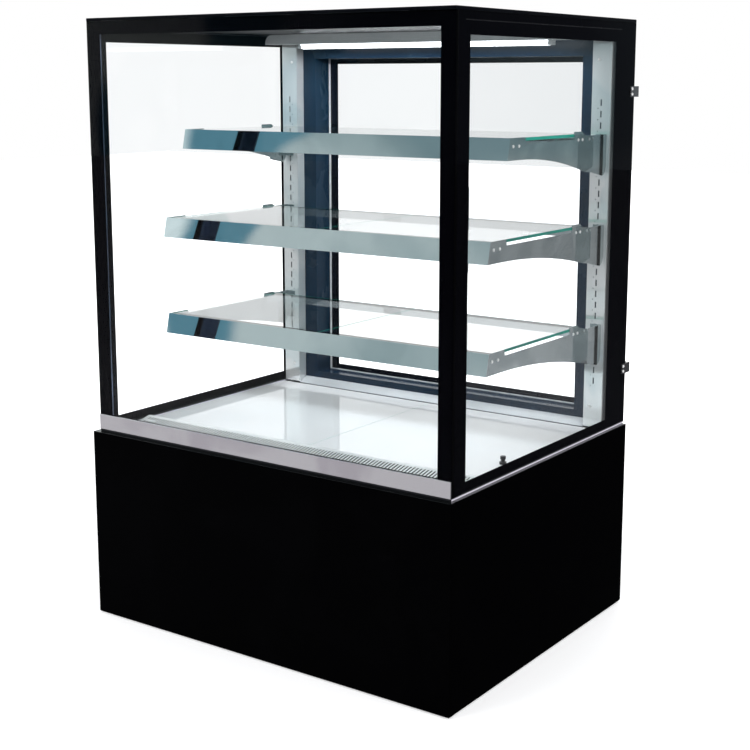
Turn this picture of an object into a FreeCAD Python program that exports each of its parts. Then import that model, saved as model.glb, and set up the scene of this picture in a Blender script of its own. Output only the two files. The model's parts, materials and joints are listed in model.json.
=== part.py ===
import FreeCAD, Part
import math
import os
import Sketcher
from FreeCAD import Placement, Rotation, Vector

# Refrigerated bakery display case. +X is the right side seen from the front, -Y is the front, +Z is up.
# The origin is on the floor, in the middle of the whole case with its door handles.
# Depths are counted from the front of the base towards the rear and turned into Y by depth().

doc = FreeCAD.newDocument("BakeryDisplayCase")
sheet = doc.addObject("Spreadsheet::Sheet", "Sizes")


class Dim:
    """A number together with the sheet expression that it comes from."""

    def __init__(self, text, value):
        self.text = text
        self.value = float(value)

    def __add__(self, other):
        other = dim(other)
        return Dim(f"({self.text} + {other.text})", self.value + other.value)

    def __radd__(self, other):
        return dim(other) + self

    def __sub__(self, other):
        other = dim(other)
        return Dim(f"({self.text} - {other.text})", self.value - other.value)

    def __rsub__(self, other):
        return dim(other) - self

    def __mul__(self, other):
        other = dim(other)
        return Dim(f"({self.text} * {other.text})", self.value * other.value)

    def __rmul__(self, other):
        return dim(other) * self

    def __truediv__(self, other):
        other = dim(other)
        return Dim(f"({self.text} / {other.text})", self.value / other.value)

    def __neg__(self):
        return 0 - self


def dim(number):
    return number if isinstance(number, Dim) else Dim(f"({float(number)!r})", number)


sheet_rows = []


def size(alias, number):
    """Writes one driving size into the sheet and returns it."""
    sheet_rows.append(alias)
    row = len(sheet_rows)
    sheet.set(f"A{row}", alias)
    sheet.set(f"B{row}", str(number))
    sheet.setAlias(f"B{row}", alias)
    return Dim(f"Sizes.{alias}", number)


# ---- driving sizes: the base ----
base_width = size("base_width", 900)
base_depth = size("base_depth", 714)
base_height = size("base_height", 407)
panel_sheet = size("panel_sheet", 2)
panel_lift = size("panel_lift", 3)
panel_return = size("panel_return", 20)
frame_section = size("frame_section", 20)
frame_wall = size("frame_wall", 2)
frame_lift = size("frame_lift", 18)
frame_gap = size("frame_gap", 0.5)
foot_radius = size("foot_radius", 18)
foot_inset = size("foot_inset", 50)

# ---- driving sizes: the glass case ----
case_inset_side = size("case_inset_side", 8)
case_inset_front = size("case_inset_front", 14)
case_overhang = size("case_overhang", 4)
case_rise = size("case_rise", 860)
foot_strip = size("foot_strip", 4)
foot_strip_width = size("foot_strip_width", 12)
front_glass_wall = size("front_glass_wall", 8)
side_glass_wall = size("side_glass_wall", 6)
print_film = size("print_film", 0.5)
roof_sheet = size("roof_sheet", 6)
roof_core = size("roof_core", 15)
tray_wall = size("tray_wall", 1.5)
front_border = size("front_border", 33)
side_border_front = size("side_border_front", 42)
side_border_rear = size("side_border_rear", 88)
side_border_top = size("side_border_top", 47)
side_border_foot = size("side_border_foot", 20.5)
trim_height = size("trim_height", 32.5)
trim_wall = size("trim_wall", 2)
post_leg = size("post_leg", 26)
post_wall = size("post_wall", 2)

# ---- driving sizes: rear frame and doors ----
rear_frame_depth = size("rear_frame_depth", 57)
rear_stile = size("rear_stile", 86.1)
rear_head = size("rear_head", 68)
rear_sill = size("rear_sill", 26)
rear_frame_wall = size("rear_frame_wall", 3)
rebate = size("rebate", 3)
rebate_depth = size("rebate_depth", 39)
door_recess = size("door_recess", 6)
gasket_wall = size("gasket_wall", 5)
gasket_gap = size("gasket_gap", 0.3)
gasket_width = size("gasket_width", 22)
door_wall = size("door_wall", 10)
door_side_gap = size("door_side_gap", 3)
door_middle_gap = size("door_middle_gap", 3)
door_foot_gap = size("door_foot_gap", 8)
door_head_gap = size("door_head_gap", 14)
door_hinge_stile = size("door_hinge_stile", 95)
door_meeting_stile = size("door_meeting_stile", 24.5)
door_foot_rail = size("door_foot_rail", 22)
door_head_rail = size("door_head_rail", 60)
pane_wall = size("pane_wall", 3)
spacer_wall = size("spacer_wall", 3)
spacer_height = size("spacer_height", 6)
handle_reach = size("handle_reach", 28)
handle_length = size("handle_length", 200)
handle_height = size("handle_height", 293)
hinge_low = size("hinge_low", 123)
hinge_drop = size("hinge_drop", 147)
hinge_height = size("hinge_height", 22)
hinge_plate = size("hinge_plate", 2)
knuckle_radius = size("knuckle_radius", 4.5)
knuckle_height = size("knuckle_height", 13.6)
pin_radius = size("pin_radius", 2)
running_gap = size("running_gap", 0.05)

# ---- driving sizes: standards and shelves ----
standard_width = size("standard_width", 43)
standard_depth = size("standard_depth", 26)
standard_wall = size("standard_wall", 1.5)
standard_inset = size("standard_inset", 7.5)
slot_pitch = size("slot_pitch", 23.4)
slot_count = size("slot_count", 26)
slot_height = size("slot_height", 13.3)
slot_width = size("slot_width", 3.2)
slot_drop = size("slot_drop", 169)
dot_radius = size("dot_radius", 1.2)
dot_offset = size("dot_offset", 7)
long_shelf_depth = size("long_shelf_depth", 373.5)
short_shelf_depth = size("short_shelf_depth", 308)
shelf_above_slot = size("shelf_above_slot", 10.2)
bracket_wall = size("bracket_wall", 2)
bracket_front_height = size("bracket_front_height", 42)
bracket_drop = size("bracket_drop", 37)
bracket_jog = size("bracket_jog", 17)
bracket_rear_gap = size("bracket_rear_gap", 60)
hook_foot_drop = size("hook_foot_drop", 88)
rail_lean = size("rail_lean", 9.5)
rail_wall = size("rail_wall", 1.5)
shelf_glass_wall = size("shelf_glass_wall", 6)
screw_head_radius = size("screw_head_radius", 3.2)
screw_head_height = size("screw_head_height", 2)
screw_shank_radius = size("screw_shank_radius", 1.5)
screw_gap = size("screw_gap", 0.1)

# ---- driving sizes: deck, grille and light ----
deck_wall = size("deck_wall", 4)
deck_above_base = size("deck_above_base", 2)
deck_slot = size("deck_slot", 4)
grille_back = size("grille_back", 146)
grille_front = size("grille_front", 40)
grille_rise = size("grille_rise", 9)
grille_fall = size("grille_fall", 21.7)
grille_wall = size("grille_wall", 1.5)
grille_slot_pitch = size("grille_slot_pitch", 7.8)
grille_slot_width = size("grille_slot_width", 3.4)
grille_end_gap = size("grille_end_gap", 12)
upstand_height = size("upstand_height", 13)
light_rear_gap = size("light_rear_gap", 86)
light_end_gap = size("light_end_gap", 18.5)
light_width = size("light_width", 32)
light_height = size("light_height", 22)
light_round = size("light_round", 18)
tube_radius = size("tube_radius", 9)
tube_end_gap = size("tube_end_gap", 100)

# ---- driving sizes: refrigeration and controls ----
tub_height = size("tub_height", 120)
tub_wall = size("tub_wall", 10)
pan_wall = size("pan_wall", 2)
evaporator_gap = size("evaporator_gap", 79)
evaporator_depth = size("evaporator_depth", 110)
evaporator_side_gap = size("evaporator_side_gap", 90.5)
evaporator_head_gap = size("evaporator_head_gap", 20)
evaporator_fin_pitch = size("evaporator_fin_pitch", 20)
condenser_width = size("condenser_width", 296)
condenser_depth = size("condenser_depth", 78)
condenser_side_gap = size("condenser_side_gap", 49.5)
condenser_rear_gap = size("condenser_rear_gap", 89)
condenser_head_gap = size("condenser_head_gap", 15)
condenser_fin_pitch = size("condenser_fin_pitch", 10)
coil_tube_radius = size("coil_tube_radius", 4.5)
motor_shaft_radius = size("motor_shaft_radius", 3)
evaporator_fan_radius = size("evaporator_fan_radius", 44)
condenser_fan_radius = size("condenser_fan_radius", 92)
compressor_radius = size("compressor_radius", 70)
compressor_height = size("compressor_height", 165)
compressor_base = size("compressor_base", 12)
pipe_radius = size("pipe_radius", 4)
riser_gap = size("riser_gap", 94)
control_width = size("control_width", 200)
control_height = size("control_height", 100)
control_side_gap = size("control_side_gap", 50)
control_head_gap = size("control_head_gap", 72)
control_overlap = size("control_overlap", 10)
louvre_width = size("louvre_width", 150)
louvre_gap = size("louvre_gap", 30)
louvre_height = size("louvre_height", 8)
louvre_pitch = size("louvre_pitch", 20)
rocker_height = size("rocker_height", 22)
rocker_width = size("rocker_width", 12)
rocker_tilt = size("rocker_tilt", 7)
key_travel = size("key_travel", 0.8)

doc.recompute()

# ---- places worked out from the sizes ----
case_depth_rear = base_depth + case_overhang
frame_rear = case_depth_rear - door_recess
frame_front = frame_rear - rear_frame_depth
door_inner = frame_rear + gasket_wall
door_outer = door_inner + door_wall
total_depth = door_outer + handle_reach
front_y = -total_depth / 2
case_half = base_width / 2 - case_inset_side
inner_half = case_half - side_glass_wall
film_half = inner_half - print_film
glass_foot = base_height + foot_strip
case_top = base_height + case_rise
glass_top = case_top - roof_sheet
ceiling = glass_top - roof_core
front_glass_in = case_inset_front + front_glass_wall
film_depth = front_glass_in + print_film
standard_face = frame_front - standard_depth
standard_outer = film_half - standard_inset
standard_middle = standard_outer - standard_width / 2
first_slot = case_top - slot_drop
plate_rear = standard_face - bracket_rear_gap
deck_top = base_height + deck_above_base
hinge_axis_x = case_half - 5.5
hinge_axis_depth = door_outer + 4
hinge_levels = (("Low", base_height + hinge_low), ("High", case_top - hinge_drop))
grille_half_width = inner_half - grille_end_gap
light_depth = frame_front - light_rear_gap
light_half_length = film_half - light_end_gap
tube_half_length = light_half_length - tube_end_gap


def depth(distance):
    """Turns a depth behind the base's front face into a Y place."""
    return front_y + distance


# ---- makers for bound objects ----
pieces = []


def bind(item, path, number):
    item.setExpression(path, dim(number).text)


def put(item, x=0, y=0, z=0):
    bind(item, "Placement.Base.x", x)
    bind(item, "Placement.Base.y", y)
    bind(item, "Placement.Base.z", z)
    return item


def box(name, x, y, z):
    item = doc.addObject("Part::Box", name)
    for path, pair in (("Length", x), ("Width", y), ("Height", z)):
        bind(item, path, dim(pair[1]) - pair[0])
    return put(item, x[0], y[0], z[0])


TURNS = {"x": Rotation(Vector(0, 1, 0), 90), "y": Rotation(Vector(1, 0, 0), -90), "z": Rotation()}


def rod(name, radius, length, x, y, z, axis="z"):
    """A cylinder that starts at x, y, z and runs along the axis."""
    item = doc.addObject("Part::Cylinder", name)
    item.Placement = Placement(Vector(), TURNS[axis])
    bind(item, "Radius", radius)
    bind(item, "Height", length)
    return put(item, x, y, z)


def fuse(name, shapes):
    item = doc.addObject("Part::MultiFuse", name)
    item.Shapes = shapes
    item.Refine = True
    return item


def cut(name, base, tools):
    item = doc.addObject("Part::Cut", name)
    item.Base = base
    item.Tool = tools[0] if len(tools) == 1 else fuse(name + "Tools", tools)
    return item


def group(name, shapes):
    item = doc.addObject("Part::Compound", name)
    item.Links = shapes
    return item


def mirror(source):
    """The same piece on the other side of the case's middle plane."""
    item = doc.addObject("Part::Mirroring", source.Name + "Mirrored")
    item.Source = source
    item.Base = (0, 0, 0)
    item.Normal = (1, 0, 0)
    return item


def soften(name, base, radius, wanted):
    """Rounds the edges that the test picks out."""
    doc.recompute()
    item = doc.addObject("Part::Fillet", name)
    item.Base = base
    edges = enumerate(base.Shape.Edges, 1)
    item.Edges = [(number, radius, radius) for number, edge in edges if wanted(edge)]
    return item


def along(edge, axis):
    """True where a straight edge runs along X, Y or Z."""
    if edge.Curve.TypeId != "Part::GeomLine":
        return False
    start, end = edge.Vertexes[0].Point, edge.Vertexes[-1].Point
    spans = {"x": abs(end.x - start.x), "y": abs(end.y - start.y), "z": abs(end.z - start.z)}
    return spans[axis] > 0.99 * edge.Length


def upright(edge):
    return along(edge, "z")


def body_plane(body, role):
    return next(item for item in body.Origin.OriginFeatures if item.Role == role)


def outline(body, name, role, points, arcs=None):
    """A closed sketch through bound points. arcs maps a point's number to the place of the centre of the arc
    that runs from it to the next point: ("x", place) or ("y", place), and True for a clockwise arc."""
    arcs = arcs or {}
    sketch = body.newObject("Sketcher::SketchObject", name)
    sketch.AttachmentSupport = [(body_plane(body, role), "")]
    sketch.MapMode = "FlatFace"
    spots = [Vector(dim(u).value, dim(v).value, 0) for u, v in points]
    total = len(spots)
    for number, spot in enumerate(spots):
        following = spots[(number + 1) % total]
        if number in arcs:
            axis, place, clockwise = arcs[number]
            centre = arc_centre(spot, following, axis, dim(place).value)
            radius = centre.distanceToPoint(spot)
            circle = Part.Circle(centre, Vector(0, 0, 1), radius)
            first, last = (following, spot) if clockwise else (spot, following)
            ends = [math.atan2(end.y - centre.y, end.x - centre.x) for end in (first, last)]
            sketch.addGeometry(Part.ArcOfCircle(circle, ends[0], ends[1]), False)
        else:
            sketch.addGeometry(Part.LineSegment(spot, following), False)
    for number, (u, v) in enumerate(points):
        start_vertex = 2 if number in arcs and arcs[number][2] else 1
        for kind, place in (("DistanceX", u), ("DistanceY", v)):
            index = sketch.addConstraint(Sketcher.Constraint(kind, -1, 1, number, start_vertex, dim(place).value))
            sketch.setExpression(f"Constraints[{index}]", dim(place).text)
        before = (number - 1) % total
        end_vertex = 1 if before in arcs and arcs[before][2] else 2
        sketch.addConstraint(Sketcher.Constraint("Coincident", before, end_vertex, number, start_vertex))
    for number, (axis, place, clockwise) in arcs.items():
        kind = "DistanceX" if axis == "x" else "DistanceY"
        index = sketch.addConstraint(Sketcher.Constraint(kind, -1, 1, number, 3, dim(place).value))
        sketch.setExpression(f"Constraints[{index}]", dim(place).text)
    return sketch


def arc_centre(start, end, axis, place):
    """The centre that is as far from both ends, with one coordinate given."""
    middle = (start + end) * 0.5
    chord = end - start
    if axis == "x":
        return Vector(place, middle.y - (place - middle.x) * chord.x / chord.y, 0)
    return Vector(middle.x - (place - middle.y) * chord.y / chord.x, place, 0)


def padded(name, role, points, thickness, arcs=None):
    """A body with one pad: an outline pushed out by a thickness."""
    body = doc.addObject("PartDesign::Body", name)
    sketch = outline(body, name + "Outline", role, points, arcs)
    pad = body.newObject("PartDesign::Pad", name + "Pad")
    pad.Profile = sketch
    bind(pad, "Length", thickness)
    return body


def node(item, name):
    item.Label = name
    pieces.append(item)
    return item


# ---- the base: panels, frame, pan and feet ----
def base_panels():
    top = base_height - panel_sheet
    front = fuse("FrontPanel", [
        box("FrontSheet", (-base_width / 2, base_width / 2), (depth(0), depth(panel_sheet)),
            (panel_lift, base_height)),
        box("FrontLedge", (-base_width / 2, base_width / 2), (depth(0), depth(panel_return)), (top, base_height)),
        box("FrontFoot", (-base_width / 2, base_width / 2), (depth(0), depth(panel_return)),
            (panel_lift, panel_lift + panel_sheet))])
    node(front, "base_front_panel")
    edge = base_width / 2
    right = fuse("RightPanel", [
        box("RightSheet", (edge - panel_sheet, edge), (depth(panel_sheet), depth(base_depth)),
            (panel_lift + panel_sheet, top)),
        box("RightLedge", (edge - panel_return, edge), (depth(panel_return), depth(base_depth)),
            (top, base_height)),
        box("RightFoot", (edge - panel_return, edge), (depth(panel_return), depth(base_depth - panel_sheet)),
            (panel_lift, panel_lift + panel_sheet))])
    node(right, "base_right_panel")
    node(mirror(right), "base_left_panel")


frame_out = base_width / 2 - panel_sheet - frame_gap
frame_in = frame_out - frame_section
frame_front_depth = panel_sheet + frame_gap
frame_rear_depth = base_depth - panel_sheet - frame_gap
frame_top = base_height - panel_sheet


def shrunk(span, wall):
    return dim(span[0]) + wall, dim(span[1]) - wall


def base_frame():
    """Twelve square tubes welded into a box; their hollows run into each other at the corners."""
    front = (depth(frame_front_depth), depth(frame_front_depth + frame_section))
    rear = (depth(frame_rear_depth - frame_section), depth(frame_rear_depth))
    top = (frame_top - frame_section, frame_top)
    foot = (frame_lift, frame_lift + frame_section)
    bars = []
    for side, x in (("Right", (frame_in, frame_out)), ("Left", (-frame_out, -frame_in))):
        for end, y in (("Front", front), ("Rear", rear)):
            bars.append((f"Upright{side}{end}", x, y, (frame_lift, frame_top)))
        for level, z in (("Top", top), ("Foot", foot)):
            bars.append((f"SideBar{side}{level}", x, (front[0], rear[1]), z))
    for end, y in (("Front", front), ("Rear", rear)):
        for level, z in (("Top", top), ("Foot", foot)):
            bars.append((f"CrossBar{end}{level}", (-frame_out, frame_out), y, z))
    outside = [box(name, x, y, z) for name, x, y, z in bars]
    inside = [box(name + "Hollow", *(shrunk(span, frame_wall) for span in spans)) for name, *spans in bars]
    node(cut("BaseFrame", fuse("BaseFrameBars", outside), inside), "base_frame")


pan_foot = frame_lift + frame_section
pan_top = pan_foot + pan_wall
nut_height = 6
pad_height = 8
stem_radius = 5
air_hole_pitch = 32

# ---- places of the machinery under the deck ----
tub_top = base_height - panel_sheet
tub_foot = tub_top - tub_height
tub_floor = tub_foot + tub_wall
tub_front = frame_front_depth + frame_section + 6
tub_rear = frame_front - 3
tub_half = frame_in - 7
condenser_left = condenser_side_gap - frame_in
condenser_right = condenser_left + condenser_width
condenser_rear = base_depth - condenser_rear_gap
condenser_front = condenser_rear - condenser_depth
condenser_height = tub_foot - pan_top - condenser_head_gap
shroud_depth = condenser_front - 2


def base_pan_and_feet():
    reach = frame_section / 2
    plate = box("PanPlate", (-frame_out + reach, frame_out - reach),
                (depth(frame_front_depth + reach), depth(frame_rear_depth - reach)), (pan_foot, pan_top))
    notches = []
    for side, x in (("Right", (frame_in, base_width / 2)), ("Left", (-base_width / 2, -frame_in))):
        notches.append(box(f"Notch{side}Front", x, (depth(0), depth(frame_front_depth + frame_section)),
                           (frame_lift, pan_top + 5)))
        notches.append(box(f"Notch{side}Rear", x, (depth(frame_rear_depth - frame_section), depth(base_depth)),
                           (frame_lift, pan_top + 5)))
    for number in range(int(condenser_width.value / air_hole_pitch)):
        start = condenser_left + 18 + air_hole_pitch * number
        notches.append(box(f"AirHole{number}", (start, start + 20),
                           (depth(shroud_depth - 295), depth(shroud_depth - 115)), (frame_lift, pan_top + 5)))
    node(cut("BasePan", plate, notches), "base_pan")
    feet = []
    for number, (side, end) in enumerate(((1, 0), (-1, 0), (1, 1), (-1, 1))):
        x = side * (base_width / 2 - foot_inset)
        y = depth(base_depth - foot_inset if end else foot_inset)
        feet.append(fuse(f"Foot{number}", [
            rod(f"FootPad{number}", foot_radius, pad_height, x, y, 0),
            rod(f"FootNut{number}", foot_radius / 2, nut_height, x, y, pan_foot - nut_height),
            rod(f"FootStem{number}", stem_radius, pan_foot, x, y, 0)]))
    node(group("LevellingFeet", feet), "levelling_feet")


control_right = base_width / 2 - control_side_gap
control_left = control_right - control_width
control_head = base_height - control_head_gap
control_foot = control_head - control_height
control_x = (control_left, control_right)
control_z = (control_foot, control_head)
inlet_middle = control_side_gap - base_width / 2
inlet_x = (inlet_middle - 15, inlet_middle + 15)
inlet_z = (65, 87)
louvre_start = 80 - base_width / 2
louvre_foot = 60


def service_grille():
    inner = base_width / 2 - panel_sheet
    top = base_height - panel_sheet
    clear = base_width / 2 - panel_return - frame_gap
    sheet_body = fuse("ServiceSheet", [
        box("ServiceFace", (-inner, inner), (depth(base_depth - panel_sheet), depth(base_depth)),
            (panel_lift + panel_sheet, top)),
        box("ServiceLedge", (-clear, clear), (depth(frame_front + 30), depth(base_depth)), (top, base_height))])
    holes = [box("ControlHole", control_x, (depth(base_depth - 10), depth(base_depth + 10)), control_z),
             box("InletHole", inlet_x, (depth(base_depth - 10), depth(base_depth + 10)), inlet_z)]
    step = louvre_width + louvre_gap
    columns = int((control_left - louvre_start + 10).value / step.value)
    rows = int((base_height - louvre_foot - 100).value / louvre_pitch.value)
    for column in range(columns):
        for row in range(rows):
            left = louvre_start + step * column
            low = louvre_foot + louvre_pitch * row
            holes.append(box(f"Louvre{column}_{row}", (left, left + louvre_width),
                             (depth(base_depth - 10), depth(base_depth + 10)), (low, low + louvre_height)))
    node(cut("ServiceGrille", sheet_body, holes), "rear_service_grille")


# ---- the glass case ----
def window_plate(name, outer, inner):
    """A plate with a window: outer and inner are (x, y, z) pairs."""
    return cut(name, box(name + "Plate", *outer), [box(name + "Window", *inner)])


def glass_case():
    front = box("FrontGlass", (-case_half, case_half), (depth(case_inset_front), depth(front_glass_in)),
                (glass_foot, glass_top))
    node(soften("FrontGlassArris", front, 0.8, upright), "front_glass")
    right = box("RightGlass", (inner_half, case_half), (depth(film_depth), depth(case_depth_rear)),
                (glass_foot, glass_top))
    node(right, "right_glass")
    node(mirror(right), "left_glass")
    border = window_plate(
        "FrontBorder",
        ((-case_half, case_half), (depth(front_glass_in), depth(film_depth)), (glass_foot, glass_top)),
        ((-case_half + front_border, case_half - front_border), (depth(front_glass_in - 1), depth(film_depth + 1)),
         (glass_foot + trim_height, case_top - front_border)))
    node(border, "front_glass_border")
    side_border = window_plate(
        "SideBorder",
        ((film_half, inner_half), (depth(film_depth), depth(case_depth_rear)), (glass_foot, glass_top)),
        ((film_half - 1, inner_half + 1),
         (depth(film_depth + side_border_front), depth(case_depth_rear - side_border_rear)),
         (glass_foot + side_border_foot, case_top - side_border_top)))
    node(group("SideBorders", [side_border, mirror(side_border)]), "side_glass_borders")
    post = fuse("CornerPost", [
        box("PostFrontLeg", (film_half - post_leg, film_half), (depth(film_depth), depth(film_depth + post_wall)),
            (glass_foot, ceiling)),
        box("PostSideLeg", (film_half - post_wall, film_half), (depth(film_depth), depth(film_depth + post_leg)),
            (glass_foot, ceiling))])
    node(group("CornerPosts", [post, mirror(post)]), "corner_posts")
    core = ((-film_half, film_half), (depth(film_depth), depth(frame_front)), (ceiling, glass_top))
    tray = cut("RoofTray", box("RoofCore", *core), [box("RoofHollow", *(shrunk(span, tray_wall) for span in core))])
    roof = fuse("RoofPanel", [
        box("RoofSheet", (-case_half, case_half), (depth(case_inset_front), depth(case_depth_rear)),
            (glass_top, case_top)), tray])
    top_edges = soften("RoofPanelEdges", roof, 1.2, lambda edge: edge.CenterOfMass.z > case_top.value - 0.1)
    node(top_edges, "roof_panel")
    trim = box("TrimStrip", (-case_half, case_half), (depth(case_inset_front - trim_wall), depth(case_inset_front)),
               (glass_foot, glass_foot + trim_height))
    node(soften("TrimStripEdges", trim, 0.9,
                lambda edge: edge.CenterOfMass.y < depth(case_inset_front).value - 1.5), "front_trim_strip")
    strip = window_plate(
        "FootStrip",
        ((-case_half, case_half), (depth(case_inset_front), depth(case_depth_rear - 2)),
         (base_height, glass_foot)),
        ((-case_half + foot_strip_width, case_half - foot_strip_width),
         (depth(case_inset_front + foot_strip_width), depth(frame_front)), (base_height - 1, glass_foot + 1)))
    node(strip, "case_bottom_frame")


# ---- deck, front grille, upstand and probe ----
def grille_height(distance):
    """The top of the sloping grille at a depth."""
    return deck_top + grille_rise - (grille_back - distance) * grille_fall / (grille_back - grille_front)


def deck_and_grille():
    edge = inner_half - foot_strip_width / 2 - frame_gap
    half = box("DeckRight", (frame_gap / 2, edge), (depth(grille_back), depth(standard_face - deck_slot)),
               (deck_top - deck_wall, deck_top))
    rounded = soften("DeckRightEdges", half, 1.0, lambda line: line.CenterOfMass.z > deck_top.value - 0.1)
    node(group("DeckPanels", [rounded, mirror(rounded)]), "deck_panels")
    back = grille_back
    sloped = padded("GrilleSheet", "YZ_Plane", [
        (depth(grille_front), grille_height(grille_front) - grille_wall),
        (depth(back - grille_wall), grille_height(back) - grille_wall * 1.3),
        (depth(back - grille_wall), deck_top - deck_wall),
        (depth(back), deck_top - deck_wall),
        (depth(back), grille_height(back)),
        (depth(grille_front), grille_height(grille_front))], grille_half_width * 2)
    put(sloped, x=-grille_half_width)
    total = int((2 * grille_half_width.value - 20) / grille_slot_pitch.value)
    first = -grille_slot_pitch * (total - 1) / 2
    low = grille_height(grille_front) - 10
    high = deck_top + grille_rise + 10
    slots = []
    for number in range(total):
        middle = first + grille_slot_pitch * number
        x = (middle - grille_slot_width / 2, middle + grille_slot_width / 2)
        if min(number, total - 1 - number) < 4:
            runs = [(grille_front + 8, grille_back - 26), (grille_back - 20, grille_back - 8)]
        else:
            runs = [(grille_front + 8, grille_back - 8)]
        for start, end in runs:
            slots.append(box(f"GrilleSlot{len(slots)}", x, (depth(start), depth(end)), (low, high)))
    tool = group("GrilleSlots", slots)
    node(cut("FrontGrille", sloped, [tool]), "front_air_grille")
    foot = deck_top
    upstand = padded("Upstand", "YZ_Plane", [
        (depth(standard_face), foot), (depth(standard_face), foot + 1.5),
        (depth(frame_front - 1.5), foot + upstand_height), (depth(frame_front), foot + upstand_height),
        (depth(frame_front), foot + 2), (depth(frame_front - 1.5), foot + 2),
        (depth(frame_front - 1.5), foot + upstand_height - 1.7), (depth(standard_face + 1.5), foot)],
        (standard_outer - standard_width - 1) * 2)
    put(upstand, x=-(standard_outer - standard_width - 1))
    node(upstand, "rear_air_upstand")
    probe_x = standard_outer - 35
    probe_y = depth(grille_back + 128)
    probe = fuse("Probe", [
        rod("ProbeFoot", 7, 5, probe_x, probe_y, deck_top),
        rod("ProbeNeck", 4, 16, probe_x, probe_y, deck_top),
        rod("ProbeCap", 5.5, 6, probe_x, probe_y, deck_top + 10)])
    node(probe, "temperature_probe")


def ceiling_light():
    y = (depth(light_depth - light_width / 2), depth(light_depth + light_width / 2))
    housing = box("LightHousing", (-light_half_length, light_half_length), y, (ceiling - light_height, ceiling))
    top = ceiling.value

    def upper_ends(edge):
        return along(edge, "y") and edge.CenterOfMass.z > top - 0.1

    node(soften("LightHousingEnds", housing, light_round.value, upper_ends), "light_housing")
    axis_z = ceiling - light_height - 1.5
    bar = rod("TubeBar", tube_radius, tube_half_length * 2, -tube_half_length, depth(light_depth), axis_z, "x")
    above = box("AboveTube", (-tube_half_length - 1, tube_half_length + 1),
                (depth(light_depth - 20), depth(light_depth + 20)), (ceiling - light_height, ceiling))
    node(cut("LightTube", bar, [above]), "light_tube")


# ---- shelf standards ----
def slot_level(number):
    return first_slot - slot_pitch * number


standard_foot = glass_foot + 1
screw_levels = (case_top - 82, glass_foot + 46)
dot_x = standard_middle - dot_offset


def shelf_standards():
    inner = standard_outer - standard_width
    wall = standard_wall
    body = doc.addObject("PartDesign::Body", "StandardRight")
    channel = outline(body, "StandardOutline", "XY_Plane", [
        (inner, depth(standard_face)), (standard_outer, depth(standard_face)),
        (standard_outer, depth(frame_front)), (standard_outer - wall, depth(frame_front)),
        (standard_outer - wall, depth(standard_face + wall)), (inner + wall, depth(standard_face + wall)),
        (inner + wall, depth(frame_front)), (inner, depth(frame_front))])
    pad = body.newObject("PartDesign::Pad", "StandardPad")
    pad.Profile = channel
    bind(pad, "Length", ceiling - standard_foot)
    put(body, z=standard_foot)
    holes = []
    for number in range(int(slot_count.value)):
        level = slot_level(number)
        holes.append(box(f"StandardSlot{number}",
                         (standard_middle - slot_width / 2, standard_middle + slot_width / 2),
                         (depth(standard_face - 1), depth(standard_face + wall + 1)),
                         (level - slot_height / 2, level + slot_height / 2)))
        holes.append(rod(f"StandardDot{number}", dot_radius, wall + 2, dot_x, depth(standard_face - 1),
                         level - slot_pitch / 2, "y"))
    for number, level in enumerate(screw_levels):
        holes.append(rod(f"StandardScrewHole{number}", screw_shank_radius + screw_gap, wall + 2, dot_x,
                         depth(standard_face - 1), level, "y"))
    right = cut("StandardWithSlots", body, [group("StandardHoles", holes)])
    node(group("ShelfStandards", [right, mirror(right)]), "shelf_standards")


# ---- shelves ----
plate_out = standard_middle - 2.5
front_screws = (12, 34)
rear_screws = (33, 15)


def shelf_bracket(tag, front, level, long):
    """One right-hand bracket: side plate with an arched foot, a jog, a hook plate and two hooks."""
    top = level
    tall = bracket_front_height
    rear_tall = tall + bracket_drop
    plate = padded(f"{tag}Plate", "YZ_Plane", [
        (rail_wall + 0.1, 0), (58, 0), (60, -12), (long - 50, -12), (long - 49, 3.5), (long - 16, 3.5),
        (long - 3, -4.6), (long, -4.6), (long, -rear_tall), (40, -tall), (rail_wall + 0.1 - rail_lean, -tall)],
        bracket_wall, {8: ("x", 40, False)})
    put(plate, plate_out - bracket_wall, depth(front), top)
    drilled = []
    for number, back in enumerate(front_screws):
        drilled.append(rod(f"{tag}FrontHole{number}", screw_shank_radius + screw_gap, bracket_wall + 2,
                           plate_out - bracket_wall - 1, depth(front + back), top - 16, "x"))
    for number, ahead in enumerate(rear_screws):
        drilled.append(rod(f"{tag}RearHole{number}", screw_shank_radius + screw_gap, bracket_wall + 2,
                           plate_out - bracket_wall - 1, depth(front + long - ahead), top - 13, "x"))
    side = cut(f"{tag}Side", plate, [group(f"{tag}ScrewHoles", drilled)])
    jog_out = plate_out + bracket_jog
    jog = box(f"{tag}Jog", (plate_out - bracket_wall, jog_out),
              (depth(front + long), depth(front + long + bracket_wall)), (top - rear_tall, top - 4.6))
    hook_front = front + long + bracket_wall
    hook_rear = standard_face - bracket_wall
    drop = hook_foot_drop
    hook_plate = padded(f"{tag}HookPlate", "YZ_Plane", [
        (depth(hook_front), -4), (depth(hook_front), -rear_tall - 1), (depth(hook_rear - 15), -drop),
        (depth(hook_rear), -drop + 15), (depth(hook_rear), -4)],
        bracket_wall, {2: ("y", -drop + 15, False)})
    put(hook_plate, jog_out - bracket_wall, 0, top)
    flange = box(f"{tag}Flange", (standard_middle - 10, jog_out), (depth(hook_rear), depth(standard_face)),
                 (top - drop + 15, top - 4))
    hooks = []
    for number, steps in enumerate((0, 2)):
        middle = top - shelf_above_slot - slot_pitch * steps
        x = (standard_middle - 1.2, standard_middle + 1.2)
        reach = standard_face + standard_wall
        hooks.append(box(f"{tag}Hook{number}", x, (depth(standard_face - 0.5), depth(reach + 6)),
                         (middle - 5.3, middle + 5.3)))
        hooks.append(box(f"{tag}HookTip{number}", x, (depth(reach + 0.4), depth(reach + 6)),
                         (middle - 12, middle)))
    return fuse(f"{tag}Bracket", [side, jog, hook_plate, flange] + hooks)


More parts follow.
